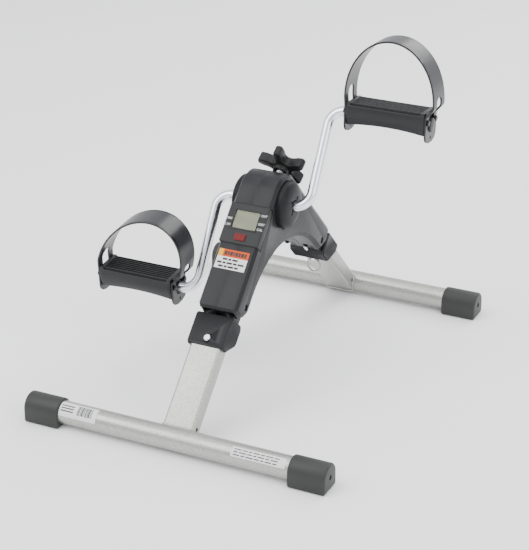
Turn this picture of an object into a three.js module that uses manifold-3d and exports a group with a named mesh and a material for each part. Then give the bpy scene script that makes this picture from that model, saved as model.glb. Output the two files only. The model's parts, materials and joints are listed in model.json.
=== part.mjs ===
// Folding pedal exerciser: two hinged T-shaped legs, a clamshell body with a
// display, a bent crank rod with two strapped pedals and a tension knob.
// Millimetres, +Z up, X across, front legs towards -Y, origin on the floor
// below the middle of the body.
import * as THREE from 'three';
import { mergeVertices } from 'three/addons/utils/BufferGeometryUtils.js';
import Module from 'manifold-3d';

const wasm = await Module();
wasm.setup();

// ---- driving dimensions -------------------------------------------------

const gap = 0.3; // between pieces that touch or are fixed together
const runClear = 0.35; // radial clearance of turning and sliding fits
const slope = Math.SQRT1_2; // both arms and legs slope at 45 degrees

// Sides of a round surface by its size.
const fineSides = 24;
const mediumSides = 14;
const smallSides = 8;

const foot = { radius: 14, wall: 1.5, length: 384, offset: 5.65 };
const leg = { width: 40, depth: 20, wall: 1.6, corner: 3, top: 15, drain: 3.5 };
const body = {
  outer: 195.2, domeRadius: 37, wall: 3, sideRoom: 6, end: 0.5, archRise: 13.3,
  bevel: 5, bevelDepth: 3.6, seam: 0.15,
};
const collar = { step: 3.2, cheek: 4.5, face: 2.6, top: 6, bottom: 47, slopeTop: 33, slopeDrop: 11 };
const latch = { radius: 2.5, under: 4.9, skin: 4.5, tip: -5.7, eye: 40, shoulder: 12, collar: 2, travel: 9, packed: 8.5 };
const hinge = { down: -15.2, rise: 7, pinRadius: 4, hubRadius: 9, lugIn: 5.7, lugOut: 20.2, recess: 2 };
const pull = { radius: 9.3, wire: 1.1 };
const cap = { wall: 2.75, sole: 2.2, length: 47, end: 5, corner: 3.5, dimple: 3, dimpleDepth: 1.2 };
const crank = { radius: 6.25, throw: 125, room: 3.4, bend: 20, angle: 59, float: -4.3 };
const bush = { wall: 2.75, flange: 5.75, start: 14, flangeThick: 2 };
const cover = { inset: 7.7, groove: 2.1, depth: 1.4, rimHeight: 6, crown: 13, wall: 2.4 };
const drum = { radius: 14, halfWidth: 8.6 };
const shoe = { halfWidth: 8, lining: 1.8, backing: 3.6, spread: 45, travel: 2.5 };
const knob = {
  tilt: 57.5, lobes: 5, reach: 31.8, tipHalf: 1.8, shoulder: 29, shoulderHalf: 4, side: 24, sideHalf: 5.2, waist: 5.5,
  lift: 12.1, thick: 14, hubRadius: 9.5, hubLift: 8, boltRadius: 4,
};
const display = {
  top: -136, bottom: -83, proud: 1.4, depth: 12.6, wall: 2,
  windowTop: -127, windowBottom: -103, windowWidth: 32,
  buttonAt: -92, buttonWidth: 14, buttonHeight: 8.6, buttonProud: 1.6,
};
const pedal = { length: 100, room: 6.3, halfDepth: 19, top: 17, bottom: -11.5, wall: 2.6, ribs: 8, bossWall: 1.25 };
const pitch = { left: 5, right: -3.3 }; // the pedals turn freely and rest a little off level
const strap = { width: 35, thick: 2.4, base: 25, tail: 22, windowClear: 0.5, round: 12 };
// How each strap is bent: its middle, spread past the pedal, lean to the right and peak.
const bends = {
  left: { middle: 6, spread: 7.5, lean: 0.28, peak: 92 },
  right: { middle: 4, spread: 6.5, lean: 0, peak: 97 },
};
const peg = { radius: 2.2, head: 3.6, height: 5, apart: 4.7 };
const screw = { head: 3.6, shank: 1.6, boss: 4.4 };

// Sizes that follow from those.
collar.halfWidth = leg.width / 2 + collar.cheek;
body.halfWidth = leg.width / 2 + body.sideRoom;
collar.outer = body.outer - collar.step;
leg.mid = collar.outer - collar.face - leg.depth / 2;
latch.out = leg.mid - leg.depth / 2 - latch.under;
collar.inner = latch.out - latch.skin;
collar.slopeEnd = collar.outer - collar.slopeDrop;
hinge.out = latch.out + hinge.rise;
latch.chamberEnd = latch.shoulder + latch.collar + latch.travel + latch.packed;
body.inner = collar.inner - 1;
body.archTop = body.inner + body.archRise;
body.crankHeight = (body.outer - body.domeRadius) / slope;
cap.halfWidth = foot.radius + cap.wall;
cap.halfSpan = foot.length / 2 + cap.end;
foot.height = foot.radius + cap.sole;
foot.reach = (leg.mid + foot.offset) / slope - foot.height;
bush.radius = crank.radius + bush.wall;
bush.rim = crank.radius + bush.flange;
cover.rim = body.domeRadius - cover.inset;
cover.pocket = cover.rim + cover.groove;
cover.seat = body.halfWidth - cover.depth;
crank.armX = cover.seat + cover.crown + crank.room + crank.bend;
knob.bottom = body.domeRadius + knob.lift;
knob.hubBottom = body.domeRadius + knob.hubLift;
display.outer = body.outer + display.proud;
display.inner = display.outer - display.depth;
pedal.boss = crank.radius + pedal.bossWall;
pedal.centre = crank.armX + crank.bend + pedal.room + pedal.length / 2;
pedal.plate = pedal.length / 2 + 0.4 + strap.thick;
crank.endX = pedal.centre + pedal.plate + 1.2;
strap.windowHalf = pedal.boss + strap.windowClear;
peg.side = strap.windowHalf + peg.apart;

// ---- finishes -----------------------------------------------------------

const finish = (color, roughness, metalness) => () => new THREE.MeshStandardMaterial({ color, roughness, metalness });
const silverPaint = finish(0xb9b9b2, 0.4, 0.6);
const blackPlastic = finish(0x555557, 0.5, 0);
const softBlack = finish(0x3c3c3b, 0.75, 0);
const capRubber = finish(0x464844, 0.8, 0);
const brightZinc = finish(0xd5d8dc, 0.22, 1);
const darkSteel = finish(0x6c6e72, 0.4, 1);
const strapVinyl = finish(0x4b4b4d, 0.45, 0);
const lcdGrey = finish(0xa0a08a, 0.35, 0);
const clearPane = finish(0xb5b8a4, 0.1, 0);
const buttonRed = finish(0xaa3737, 0.45, 0);
const boardGreen = finish(0x2f6a45, 0.6, 0);
const brass = finish(0xb08d4a, 0.4, 1);
const acetal = finish(0xe6e4dc, 0.5, 0);
const felt = finish(0x8a7452, 0.95, 0);

// ---- solids and meshes --------------------------------------------------

const object = new THREE.Group();

function toSolid(geometry, matrix) {
  const plain = geometry.clone();
  plain.deleteAttribute('normal');
  plain.deleteAttribute('uv');
  if (matrix) plain.applyMatrix4(matrix);
  const merged = mergeVertices(plain, 1e-4);
  return new wasm.Manifold(new wasm.Mesh({
    numProp: 3,
    vertProperties: new Float32Array(merged.attributes.position.array),
    triVerts: new Uint32Array(merged.index.array),
  }));
}

function toGeometry(solid) {
  const { numProp, vertProperties, triVerts } = solid.getMesh();
  const geometry = new THREE.BufferGeometry();
  const position = new Float32Array((vertProperties.length / numProp) * 3);
  for (let i = 0; i < position.length / 3; i += 1) {
    position.set(vertProperties.subarray(i * numProp, i * numProp + 3), i * 3);
  }
  geometry.setAttribute('position', new THREE.BufferAttribute(position, 3));
  geometry.setIndex(Array.from(triVerts));
  geometry.computeVertexNormals();
  return geometry;
}

function addMesh(parent, name, shape, material) {
  const geometry = shape.isBufferGeometry ? shape : toGeometry(shape);
  const mesh = new THREE.Mesh(geometry, material());
  mesh.name = name;
  parent.add(mesh);
  return mesh;
}

const move = (x, y, z) => new THREE.Matrix4().makeTranslation(x, y, z);

// Arm frame: X across, Y inwards (minus the outward distance), Z up the slope
// (minus the distance down the slope).
const armPoint = (x, down, out) => new THREE.Vector3(x, -out, -down);

function boxSolid(x0, x1, y0, y1, z0, z1) {
  const middle = move((x0 + x1) / 2, (y0 + y1) / 2, (z0 + z1) / 2);
  return toSolid(new THREE.BoxGeometry(x1 - x0, y1 - y0, z1 - z0), middle);
}

const armBox = (x0, x1, down0, down1, out0, out1) => boxSolid(x0, x1, -out1, -out0, -down1, -down0);

// A cylinder between two points.
function rodSolid(from, to, radius, sides = mediumSides) {
  const along = new THREE.Vector3().subVectors(to, from);
  const turn = new THREE.Quaternion().setFromUnitVectors(new THREE.Vector3(0, 1, 0), along.clone().normalize());
  const middle = new THREE.Vector3().addVectors(from, to).multiplyScalar(0.5);
  const matrix = new THREE.Matrix4().compose(middle, turn, new THREE.Vector3(1, 1, 1));
  return toSolid(new THREE.CylinderGeometry(radius, radius, along.length(), sides), matrix);
}

const acrossRod = (x0, x1, y, z, radius, sides) => (
  rodSolid(new THREE.Vector3(x0, y, z), new THREE.Vector3(x1, y, z), radius, sides)
);

// Rings turned about an axis through `at` along `axis`; the profile is a
// closed loop of [radius, distance along the axis].
function turnedSolid(profile, at, axis, sides = fineSides) {
  const points = profile.concat([profile[0]]).map(([r, h]) => new THREE.Vector2(r, h));
  const turn = new THREE.Quaternion().setFromUnitVectors(new THREE.Vector3(0, 1, 0), axis.clone().normalize());
  const matrix = new THREE.Matrix4().compose(at, turn, new THREE.Vector3(1, 1, 1));
  const solid = toSolid(new THREE.LatheGeometry(points, sides), matrix);
  return solid;
}

const alongX = new THREE.Vector3(1, 0, 0);

// A side outline drawn in (y, z), extruded from x0 to x1.
function sideSolid(shape, x0, x1, options = {}) {
  const { bevel = 0, bevelDepth = 0, segments = 1, curve = 6 } = options;
  const settings = {
    depth: x1 - x0 - 2 * bevelDepth, bevelEnabled: bevel > 0, bevelSize: bevel,
    bevelOffset: -bevel, bevelThickness: bevelDepth, bevelSegments: segments, curveSegments: curve,
  };
  const axes = new THREE.Matrix4().makeBasis(
    new THREE.Vector3(0, 1, 0), new THREE.Vector3(0, 0, 1), new THREE.Vector3(1, 0, 0),
  );
  axes.premultiply(move(x0 + bevelDepth, 0, 0));
  return toSolid(new THREE.ExtrudeGeometry(shape, settings), axes);
}

const polygon = (points) => new THREE.Shape(points.map(([a, b]) => new THREE.Vector2(a, b)));

function roundedRect(halfA, halfB, corner) {
  const shape = new THREE.Shape();
  shape.moveTo(-halfA + corner, -halfB);
  shape.absarc(halfA - corner, -halfB + corner, corner, -Math.PI / 2, 0);
  shape.absarc(halfA - corner, halfB - corner, corner, 0, Math.PI / 2);
  shape.absarc(-halfA + corner, halfB - corner, corner, Math.PI / 2, Math.PI);
  shape.absarc(-halfA + corner, -halfB + corner, corner, Math.PI, Math.PI * 1.5);
  return shape;
}

// A path through given stations, so straight runs need no steps.
class StationPath extends THREE.Curve {
  constructor(stations) {
    super();
    this.stations = stations;
  }

  getPoint(t, target = new THREE.Vector3()) {
    const at = t * (this.stations.length - 1);
    const first = Math.min(Math.floor(at + 1e-9), this.stations.length - 2);
    return target.lerpVectors(this.stations[first], this.stations[first + 1], at - first);
  }

  getPointAt(u, target) {
    return this.getPoint(u, target);
  }

  getTangentAt(u, target = new THREE.Vector3()) {
    const at = Math.round(u * (this.stations.length - 1));
    const here = this.stations[at];
    const before = this.stations[at - 1] ?? here;
    const after = this.stations[at + 1] ?? here;
    const into = new THREE.Vector3().subVectors(here, before).normalize();
    const away = new THREE.Vector3().subVectors(after, here).normalize();
    return target.addVectors(into, away).normalize();
  }
}

function circleShape(radius, sides) {
  const points = [];
  for (let i = 0; i < sides; i += 1) {
    const angle = (2 * Math.PI * i) / sides;
    points.push([radius * Math.cos(angle), radius * Math.sin(angle)]);
  }
  return polygon(points);
}

function sweptRod(stations, radius, sides) {
  return new THREE.ExtrudeGeometry(circleShape(radius, sides), {
    steps: stations.length - 1, extrudePath: new StationPath(stations), bevelEnabled: false,
  });
}

// ---- legs and feet ------------------------------------------------------

// Tombstone end cap: round top, straight sides and a flat sole at z = 0.
function capShape() {
  const { halfWidth, corner } = cap;
  const shape = new THREE.Shape();
  shape.moveTo(-halfWidth + corner, 0);
  shape.absarc(halfWidth - corner, corner, corner, -Math.PI / 2, 0);
  shape.absarc(0, foot.height, halfWidth, 0, Math.PI);
  shape.absarc(-halfWidth + corner, corner, corner, Math.PI, Math.PI * 1.5);
  return shape;
}

function addFoot(parent, end) {
  const at = new THREE.Vector3(-foot.length / 2, 0, 0);
  const tube = turnedSolid([
    [foot.radius, 0], [foot.radius, foot.length],
    [foot.radius - foot.wall, foot.length], [foot.radius - foot.wall, 0],
  ], at, alongX);
  const footGroup = new THREE.Group();
  footGroup.position.set(0, -foot.reach, foot.height);
  parent.add(footGroup);
  addMesh(footGroup, `${end}_foot_tube`, tube, silverPaint);
  for (const side of ['left', 'right']) {
    const sign = side === 'right' ? 1 : -1;
    let solid = sideSolid(capShape(), -cap.length / 2, cap.length / 2, { bevel: 1.6, bevelDepth: 1.6, curve: 5 });
    const bore = foot.radius + gap;
    const open = -sign * (cap.length / 2 + 1);
    const floor = foot.length / 2 + gap - (cap.halfSpan - cap.length / 2);
    solid = solid.subtract(acrossRod(open, sign * floor, 0, foot.height, bore, fineSides));
    const face = sign * (cap.length / 2);
    solid = solid.subtract(acrossRod(face - sign * cap.dimpleDepth, face + sign, 0, foot.height, cap.dimple, smallSides));
    const mesh = addMesh(footGroup, `${end}_foot_cap_${side}`, solid, capRubber);
    mesh.position.set(sign * (cap.halfSpan - cap.length / 2), 0, -foot.height);
  }
}

function addLeg(arm, end) {
  const footDown = (foot.reach - foot.height) * slope;
  const footOut = (foot.reach + foot.height) * slope;
  const length = footDown - 5 - leg.top;
  const matrix = move(0, -leg.mid, -leg.top - length);
  const settings = { depth: length, bevelEnabled: false, curveSegments: 3 };
  const outside = roundedRect(leg.width / 2, leg.depth / 2, leg.corner);
  const inside = roundedRect(leg.width / 2 - leg.wall, leg.depth / 2 - leg.wall, leg.corner - leg.wall);
  let solid = toSolid(new THREE.ExtrudeGeometry(outside, settings), matrix);
  solid = solid.subtract(toSolid(new THREE.ExtrudeGeometry(inside, { ...settings, depth: length + 2 }),
    move(0, -leg.mid, -leg.top - length - 1)));
  const weldReach = leg.width;
  const notch = rodSolid(armPoint(-weldReach, footDown, footOut), armPoint(weldReach, footDown, footOut),
    foot.radius + gap, fineSides);
  solid = solid.subtract(notch);
  const drainDown = footDown - foot.radius - leg.drain;
  solid = solid.subtract(rodSolid(armPoint(-leg.width, drainDown, leg.mid), armPoint(leg.width, drainDown, leg.mid),
    leg.drain, smallSides));
  solid = solid.subtract(collarScrewHole());
  addMesh(arm, `${end}_leg_tube`, solid, silverPaint);
}

const collarScrewAt = (collar.top + collar.bottom) / 2 + 10;

function collarScrewHole() {
  return rodSolid(armPoint(0, collarScrewAt, leg.mid), armPoint(0, collarScrewAt, collar.outer + 5),
    screw.shank + gap, smallSides);
}

function addCollar(arm, end) {
  const { top, bottom, outer, inner, slopeTop, slopeEnd, halfWidth } = collar;
  const outline = polygon([
    [-outer + 2, -top], [-outer, -top - 2], [-outer, -bottom + 3], [-outer + 3, -bottom], [-slopeEnd, -bottom],
    [-inner - 2, -slopeTop], [-inner, -slopeTop + 4], [-inner, -top - 5], [-inner - 4, -top],
  ].reverse());
  let solid = sideSolid(outline, -halfWidth, halfWidth, { bevel: 1.5, bevelDepth: 1.5 });
  const lug = new THREE.Shape();
  lug.moveTo(-hinge.out - hinge.hubRadius, -hinge.down);
  lug.lineTo(-hinge.out - hinge.hubRadius - 3, -top - 3);
  lug.lineTo(-hinge.out + hinge.hubRadius - 2, -top - 3);
  lug.lineTo(-hinge.out + hinge.hubRadius, -hinge.down);
  lug.absarc(-hinge.out, -hinge.down, hinge.hubRadius, 0, Math.PI);
  for (const sign of [-1, 1]) {
    const low = Math.min(sign * hinge.lugIn, sign * hinge.lugOut);
    solid = solid.add(sideSolid(lug, low, low + hinge.lugOut - hinge.lugIn, { curve: 8 }));
  }
  const reach = leg.width;
  solid = solid.subtract(rodSolid(armPoint(-reach, hinge.down, hinge.out), armPoint(reach, hinge.down, hinge.out),
    hinge.pinRadius + runClear));
  const half = leg.width / 2 + gap;
  solid = solid.subtract(armBox(-half, half, leg.top - gap, bottom + 5,
    leg.mid - leg.depth / 2 - gap, leg.mid + leg.depth / 2 + gap));
  solid = solid.subtract(rodSolid(armPoint(0, top - 20, latch.out), armPoint(0, bottom, latch.out),
    latch.radius + runClear, smallSides));
  solid = solid.subtract(rodSolid(armPoint(0, latch.shoulder - 1, latch.out),
    armPoint(0, latch.chamberEnd, latch.out), latch.radius + 1.3));
  solid = solid.subtract(collarScrewHole());
  addMesh(arm, `${end}_hinge_collar`, solid, blackPlastic);

  const pinHalf = body.halfWidth - hinge.recess;
  const pin = turnedSolid([
    [0, -pinHalf], [hinge.pinRadius - 0.6, -pinHalf], [hinge.pinRadius, -pinHalf + 0.6],
    [hinge.pinRadius, pinHalf - 0.6], [hinge.pinRadius - 0.6, pinHalf], [0, pinHalf],
  ], armPoint(0, hinge.down, hinge.out), alongX, mediumSides);
  addMesh(arm, `${end}_hinge_pin`, pin, darkSteel);

  const headAt = collar.outer + gap;
  const outwards = new THREE.Vector3(0, -1, 0);
  let collarScrew = turnedSolid([
    [0, -9], [screw.shank, -9], [screw.shank, 0], [4.1, 0], [4.1, 1.2], [2.8, 2.2], [0, 2.4],
  ], armPoint(0, collarScrewAt, headAt), outwards, mediumSides);
  for (const [wide, tall] of [[2.4, 0.5], [0.5, 2.4]]) {
    collarScrew = collarScrew.subtract(armBox(-wide, wide, collarScrewAt - tall, collarScrewAt + tall,
      headAt + 1.2, headAt + 3));
  }
  addMesh(arm, `${end}_collar_screw`, collarScrew, brightZinc);
}

function addLatch(arm, end) {
  const { radius, tip, eye, shoulder, out } = latch;
  const downwards = new THREE.Vector3(0, 0, -1);
  const nose = [0, 30, 60, 90].map((degrees) => {
    const angle = THREE.MathUtils.degToRad(degrees);
    return [radius * Math.sin(angle), tip + radius * (1 - Math.cos(angle))];
  });
  let pin = turnedSolid([
    ...nose, [radius, shoulder], [radius + 1, shoulder], [radius + 1, shoulder + latch.collar],
    [radius, shoulder + latch.collar],
    [radius, eye], [0, eye],
  ], armPoint(0, 0, out), downwards, smallSides);
  pin = pin.add(rodSolid(armPoint(-2, eye, out), armPoint(2, eye, out), radius + 0.9, mediumSides));
  pin = pin.subtract(rodSolid(armPoint(-6, eye, out), armPoint(6, eye, out), pull.wire + 0.7, smallSides));
  addMesh(arm, `${end}_lock_pin`, pin, brightZinc);

  const coilTop = shoulder + latch.collar + gap;
  const coilLength = latch.chamberEnd - gap - coilTop;
  const wire = 0.4;
  const turns = 5;
  const stepsPerTurn = 9;
  const stations = [];
  for (let i = 0; i <= turns * stepsPerTurn; i += 1) {
    const angle = (2 * Math.PI * i) / stepsPerTurn;
    const down = coilTop + wire + ((coilLength - 2 * wire) * i) / (turns * stepsPerTurn);
    const coil = radius + 0.65;
    stations.push(armPoint(coil * Math.cos(angle), down, out + coil * Math.sin(angle)));
  }
  addMesh(arm, `${end}_lock_spring`, sweptRod(stations, wire, 5), darkSteel);
}

// The split ring hangs straight down from the eye of the lock pin.
function addPullRing(parent, end) {
  const y = -(latch.eye + latch.out) * slope;
  const z = (latch.out - latch.eye) * slope;
  const ring = new THREE.TorusGeometry(pull.radius, pull.wire, 6, 20);
  const mesh = addMesh(parent, `${end}_pull_ring`, ring, brightZinc);
  mesh.rotation.x = Math.PI / 2;
  mesh.position.set(0, y, z - pull.radius);
}

function addLegAssembly(end) {
  const group = new THREE.Group();
  if (end === 'rear') group.rotation.z = Math.PI;
  object.add(group);
  const arm = new THREE.Group();
  arm.rotation.x = -Math.PI / 4;
  group.add(arm);
  addFoot(group, end);
  addLeg(arm, end);
  addCollar(arm, end);
  addLatch(arm, end);
  addPullRing(group, end);
}

// ---- body shell ---------------------------------------------------------

const sidePoint = (sign, down, out) => [sign * (down + out) * slope, (out - down) * slope];

// Outline of the body in (y, z), drawn inset by a wall thickness.
function bodyShape(inset) {
  const outer = body.outer - inset;
  const inner = body.inner + inset;
  const end = body.end - inset;
  const dome = body.domeRadius - inset;
  const corner = 12.5 - inset;
  const shape = new THREE.Shape();
  const halfArc = Math.PI / 4;
  shape.absarc(0, body.crankHeight, dome, halfArc, Math.PI - halfArc);
  const endDown = (sign) => [
    [end - 3, outer], [end, outer - 3], [end, outer - 9.2 + inset], [end + 2, outer - 18.2 + inset],
  ].map(([down, out]) => sidePoint(sign, down, out));
  for (const [y, z] of endDown(-1)) shape.lineTo(y, z);
  const [hy, hz] = sidePoint(1, hinge.down, hinge.out);
  const tilt = THREE.MathUtils.degToRad(25);
  shape.absarc(-hy, hz, corner, Math.PI * 1.25 + tilt, Math.PI * 1.75);
  const slopeHeight = inner * Math.SQRT2;
  const top = body.archTop + inset;
  const archCentre = (Math.SQRT2 * top - slopeHeight) / (Math.SQRT2 - 1);
  shape.absarc(0, archCentre, top - archCentre, Math.PI * 0.75, Math.PI * 0.25, true);
  shape.absarc(hy, hz, corner, Math.PI * 1.25, Math.PI * 1.75 - tilt);
  for (const [y, z] of endDown(1).reverse()) shape.lineTo(y, z);
  return shape;
}

const armMatrix = (sign) => {
  const matrix = new THREE.Matrix4().makeRotationX(-Math.PI / 4);
  return sign > 0 ? matrix.premultiply(new THREE.Matrix4().makeRotationZ(Math.PI)) : matrix;
};

const inArm = (solid, sign) => solid.transform(armMatrix(sign).elements);

const screwPlaces = [
  [0, body.crankHeight + body.domeRadius - body.wall - screw.boss + 1],
  [0, body.archTop + body.wall + screw.boss - 1],
  [-(body.outer + body.inner) / 2 * slope + 55 * slope, (body.outer + body.inner) / 2 * slope + 55 * slope],
  [(body.outer + body.inner) / 2 * slope - 55 * slope, (body.outer + body.inner) / 2 * slope + 55 * slope],
];

// Direction of the tension bolt, from the crank axis out through the dome.
const boltAngle = THREE.MathUtils.degToRad(knob.tilt);
const boltAxis = new THREE.Vector3(0, Math.sin(boltAngle), Math.cos(boltAngle));
const crankCentre = new THREE.Vector3(0, 0, body.crankHeight);
const onBolt = (distance) => crankCentre.clone().addScaledVector(boltAxis, distance);

function addHousing(side) {
  const sign = side === 'right' ? 1 : -1;
  const { halfWidth, wall, seam, bevel, bevelDepth, crankHeight } = body;
  const low = sign > 0 ? seam : -halfWidth - 1;
  const high = sign > 0 ? halfWidth + 1 : -seam;
  const reach = 2 * body.outer;
  const halfSpace = boxSolid(low, high, -reach, reach, 0, reach);
  let solid = sideSolid(bodyShape(0), -halfWidth, halfWidth, { bevel, bevelDepth, curve: 8 });
  const hollow = halfWidth - wall;
  solid = solid.subtract(sideSolid(bodyShape(wall), -hollow, hollow, { curve: 8 }));
  for (const end of [-1, 1]) {
    const block = armBox(-hinge.lugIn + 0.5, hinge.lugIn - 0.5, -11, 0, body.inner + 1, latch.out + 4.5);
    solid = solid.add(inArm(block, end).intersect(sideSolid(bodyShape(0), -8, 8, { curve: 8 })));
    for (const x of [-1, 1]) {
      const bossLow = Math.min(x * (hinge.lugOut + gap), x * (hollow + 1));
      const boss = rodSolid(armPoint(bossLow, hinge.down, hinge.out),
        armPoint(bossLow + hollow + 1 - hinge.lugOut - gap, hinge.down, hinge.out), hinge.pinRadius + 3.5);
      solid = solid.add(inArm(boss, end));
    }
  }
  for (const [y, z] of screwPlaces) solid = solid.add(acrossRod(-hollow - 1, hollow + 1, y, z, screw.boss, smallSides));
  solid = solid.add(acrossRod(bush.start, hollow + 1, 0, crankHeight, bush.radius + gap + 3, mediumSides));
  solid = solid.add(acrossRod(-hollow - 1, -bush.start, 0, crankHeight, bush.radius + gap + 3, mediumSides));
  solid = solid.subtract(acrossRod(-halfWidth - 9, halfWidth + 9, 0, crankHeight, bush.radius + gap, mediumSides));
  for (const x of [-1, 1]) {
    solid = solid.subtract(acrossRod(x * cover.seat, x * (halfWidth + 9), 0, crankHeight, cover.pocket, fineSides));
  }
  solid = solid.subtract(inArm(armBox(-halfWidth - 1, halfWidth + 1, display.top - gap, display.bottom + gap,
    display.inner - gap, body.outer + 9), -1));
  for (const end of [-1, 1]) {
    for (const x of [-1, 1]) {
      const inside = hinge.lugIn - gap;
      const outside = hinge.lugOut + gap;
      solid = solid.subtract(inArm(armBox(Math.min(x * inside, x * outside), Math.max(x * inside, x * outside),
        hinge.down - hinge.hubRadius - 1, 20, body.inner - 12, body.outer - wall - 0.2), end));
    }
    solid = solid.subtract(inArm(rodSolid(armPoint(-40, hinge.down, hinge.out),
      armPoint(40, hinge.down, hinge.out), hinge.pinRadius + gap), end));
    solid = solid.subtract(inArm(rodSolid(armPoint(0, latch.tip - 1.4, latch.out),
      armPoint(0, 20, latch.out), latch.radius + 0.6, smallSides), end));
  }
  for (const [y, z] of screwPlaces) {
    solid = solid.subtract(acrossRod(-halfWidth - 9, hollow - 4, y, z, screw.shank + gap, smallSides));
    solid = solid.subtract(acrossRod(-halfWidth - 9, -halfWidth + 4, y, z, screw.head + 2 * gap, smallSides));
  }
  solid = solid.subtract(rodSolid(onBolt(body.domeRadius - 7), onBolt(body.domeRadius + 20), knob.boltRadius + 0.6));
  addMesh(object, `housing_${side}`, solid.intersect(halfSpace), blackPlastic);
}

function addHousingScrews() {
  const headAt = -body.halfWidth + 4 - gap;
  screwPlaces.forEach(([y, z], index) => {
    const solid = turnedSolid([
      [0, 0], [screw.shank, 0], [screw.shank, 36], [screw.head, 36], [screw.head, 37.6], [2.4, 38.4], [0, 38.6],
    ], new THREE.Vector3(headAt + 36, y, z), alongX.clone().negate(), smallSides);
    addMesh(object, `housing_screw_${index + 1}`, solid, darkSteel);
  });
}

// Domed cover over each end of the crank shaft, with four slots round the hole.
function addBearing(side) {
  const sign = side === 'right' ? 1 : -1;
  const axis = alongX.clone().multiplyScalar(sign);
  const { rim, rimHeight, crown, wall } = cover;
  const hole = crank.radius + 0.9;
  const arc = (radius, height, count) => Array.from({ length: count + 1 }, (_, i) => {
    const angle = (Math.PI / 2) * (i / count);
    return [radius - (radius - 12) * (1 - Math.cos(angle)), height + (crown - rimHeight) * Math.sin(angle)];
  });
  let dome = turnedSolid([
    [rim, 0], ...arc(rim, rimHeight, 4), [hole, crown], [hole, crown - wall],
    ...arc(rim - wall, rimHeight - wall, 3).reverse(), [rim - wall, 0],
  ], new THREE.Vector3(sign * (cover.seat + gap), 0, body.crankHeight), axis, fineSides);
  for (let i = 0; i < 4; i += 1) {
    const angle = Math.PI / 4 + (Math.PI / 2) * i;
    const slot = roundedRect(1.5, 2.6, 1.2);
    const place = move(0, 10.5 * Math.cos(angle), body.crankHeight + 10.5 * Math.sin(angle))
      .multiply(new THREE.Matrix4().makeRotationX(angle));
    const cut = sideSolid(slot, 20, 60, { curve: 2 }).transform(place.elements);
    dome = dome.subtract(sign > 0 ? cut : cut.transform(new THREE.Matrix4().makeRotationZ(Math.PI).elements));
  }
  addMesh(object, `bearing_cover_${side}`, dome, blackPlastic);

  const inner = crank.radius + runClear;
  const { radius, rim: flange, start, flangeThick } = bush;
  const flangeAt = start - gap - flangeThick;
  const bushing = turnedSolid([
    [inner, flangeAt], [flange, flangeAt], [flange, flangeAt + flangeThick], [radius, flangeAt + flangeThick],
    [radius, cover.seat - gap], [inner, cover.seat - gap],
  ], new THREE.Vector3(0, 0, body.crankHeight), axis, mediumSides + 4);
  addMesh(object, `crank_bush_${side}`, bushing, acetal);
}

// ---- display module -----------------------------------------------------

function addDisplay() {
  const arm = new THREE.Group();
  arm.rotation.x = -Math.PI / 4;
  object.add(arm);
  const half = body.halfWidth;
  const { top, bottom, outer, inner, wall } = display;
  const windowHalf = display.windowWidth / 2;
  const buttonHalf = display.buttonWidth / 2;
  const { windowTop, windowBottom, buttonAt, buttonHeight } = display;
  const middle = (top + bottom) / 2;
  const shell = toSolid(new THREE.ExtrudeGeometry(roundedRect(half - 1, (bottom - top) / 2 - 1, 1.5), {
    depth: outer - inner - 2, bevelSize: 1, bevelThickness: 1, bevelSegments: 1, curveSegments: 3,
  }), new THREE.Matrix4().makeRotationX(Math.PI / 2).premultiply(move(0, -inner - 1, -middle)));
  const room = armBox(-half + wall, half - wall, top + wall, bottom - wall, inner - 5, outer - wall);
  const windowCut = armBox(-windowHalf, windowHalf, windowTop, windowBottom, inner, outer + 5);
  const buttonTop = buttonAt - buttonHeight / 2;
  const buttonCut = armBox(-buttonHalf - gap, buttonHalf + gap, buttonTop - gap, buttonTop + buttonHeight + gap,
    inner, outer + 5);
  addMesh(arm, 'display_case', shell.subtract(room).subtract(windowCut).subtract(buttonCut), blackPlastic);

  addMesh(arm, 'lcd_window', armBox(-windowHalf + gap, windowHalf - gap, windowTop + gap, windowBottom - gap,
    outer - wall + 0.2, outer - 0.7), clearPane);
  const panelOut = outer - wall - gap;
  addMesh(arm, 'lcd_panel', armBox(-windowHalf - 2, windowHalf + 2, windowTop - 2, windowBottom + 2,
    panelOut - 2, panelOut), lcdGrey);
  const boardOut = panelOut - 2 - gap;
  addMesh(arm, 'display_board', armBox(-half + wall + 1, half - wall - 1, top + wall + 1, bottom - wall - 1,
    boardOut - 1.6, boardOut), boardGreen);
  const cellOut = boardOut - 1.6 - gap;
  const outwards = new THREE.Vector3(0, -1, 0);
  addMesh(arm, 'button_cell', turnedSolid([[0, -5.4], [5.2, -5.4], [5.8, -4.6], [5.8, 0], [0, 0]],
    armPoint(-8, middle, cellOut), outwards, mediumSides), brightZinc);

  const proud = outer + display.buttonProud;
  const stem = armBox(-buttonHalf, buttonHalf, buttonTop, buttonTop + buttonHeight, outer - wall - gap - 0.6, proud);
  const flange = armBox(-buttonHalf - 1.4, buttonHalf + 1.4, buttonTop - 1.4, buttonTop + buttonHeight + 1.4,
    outer - wall - gap - 1, outer - wall - gap);
  addMesh(arm, 'reset_button', stem.add(flange), buttonRed);
}

// ---- crank and brake ----------------------------------------------------

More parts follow.
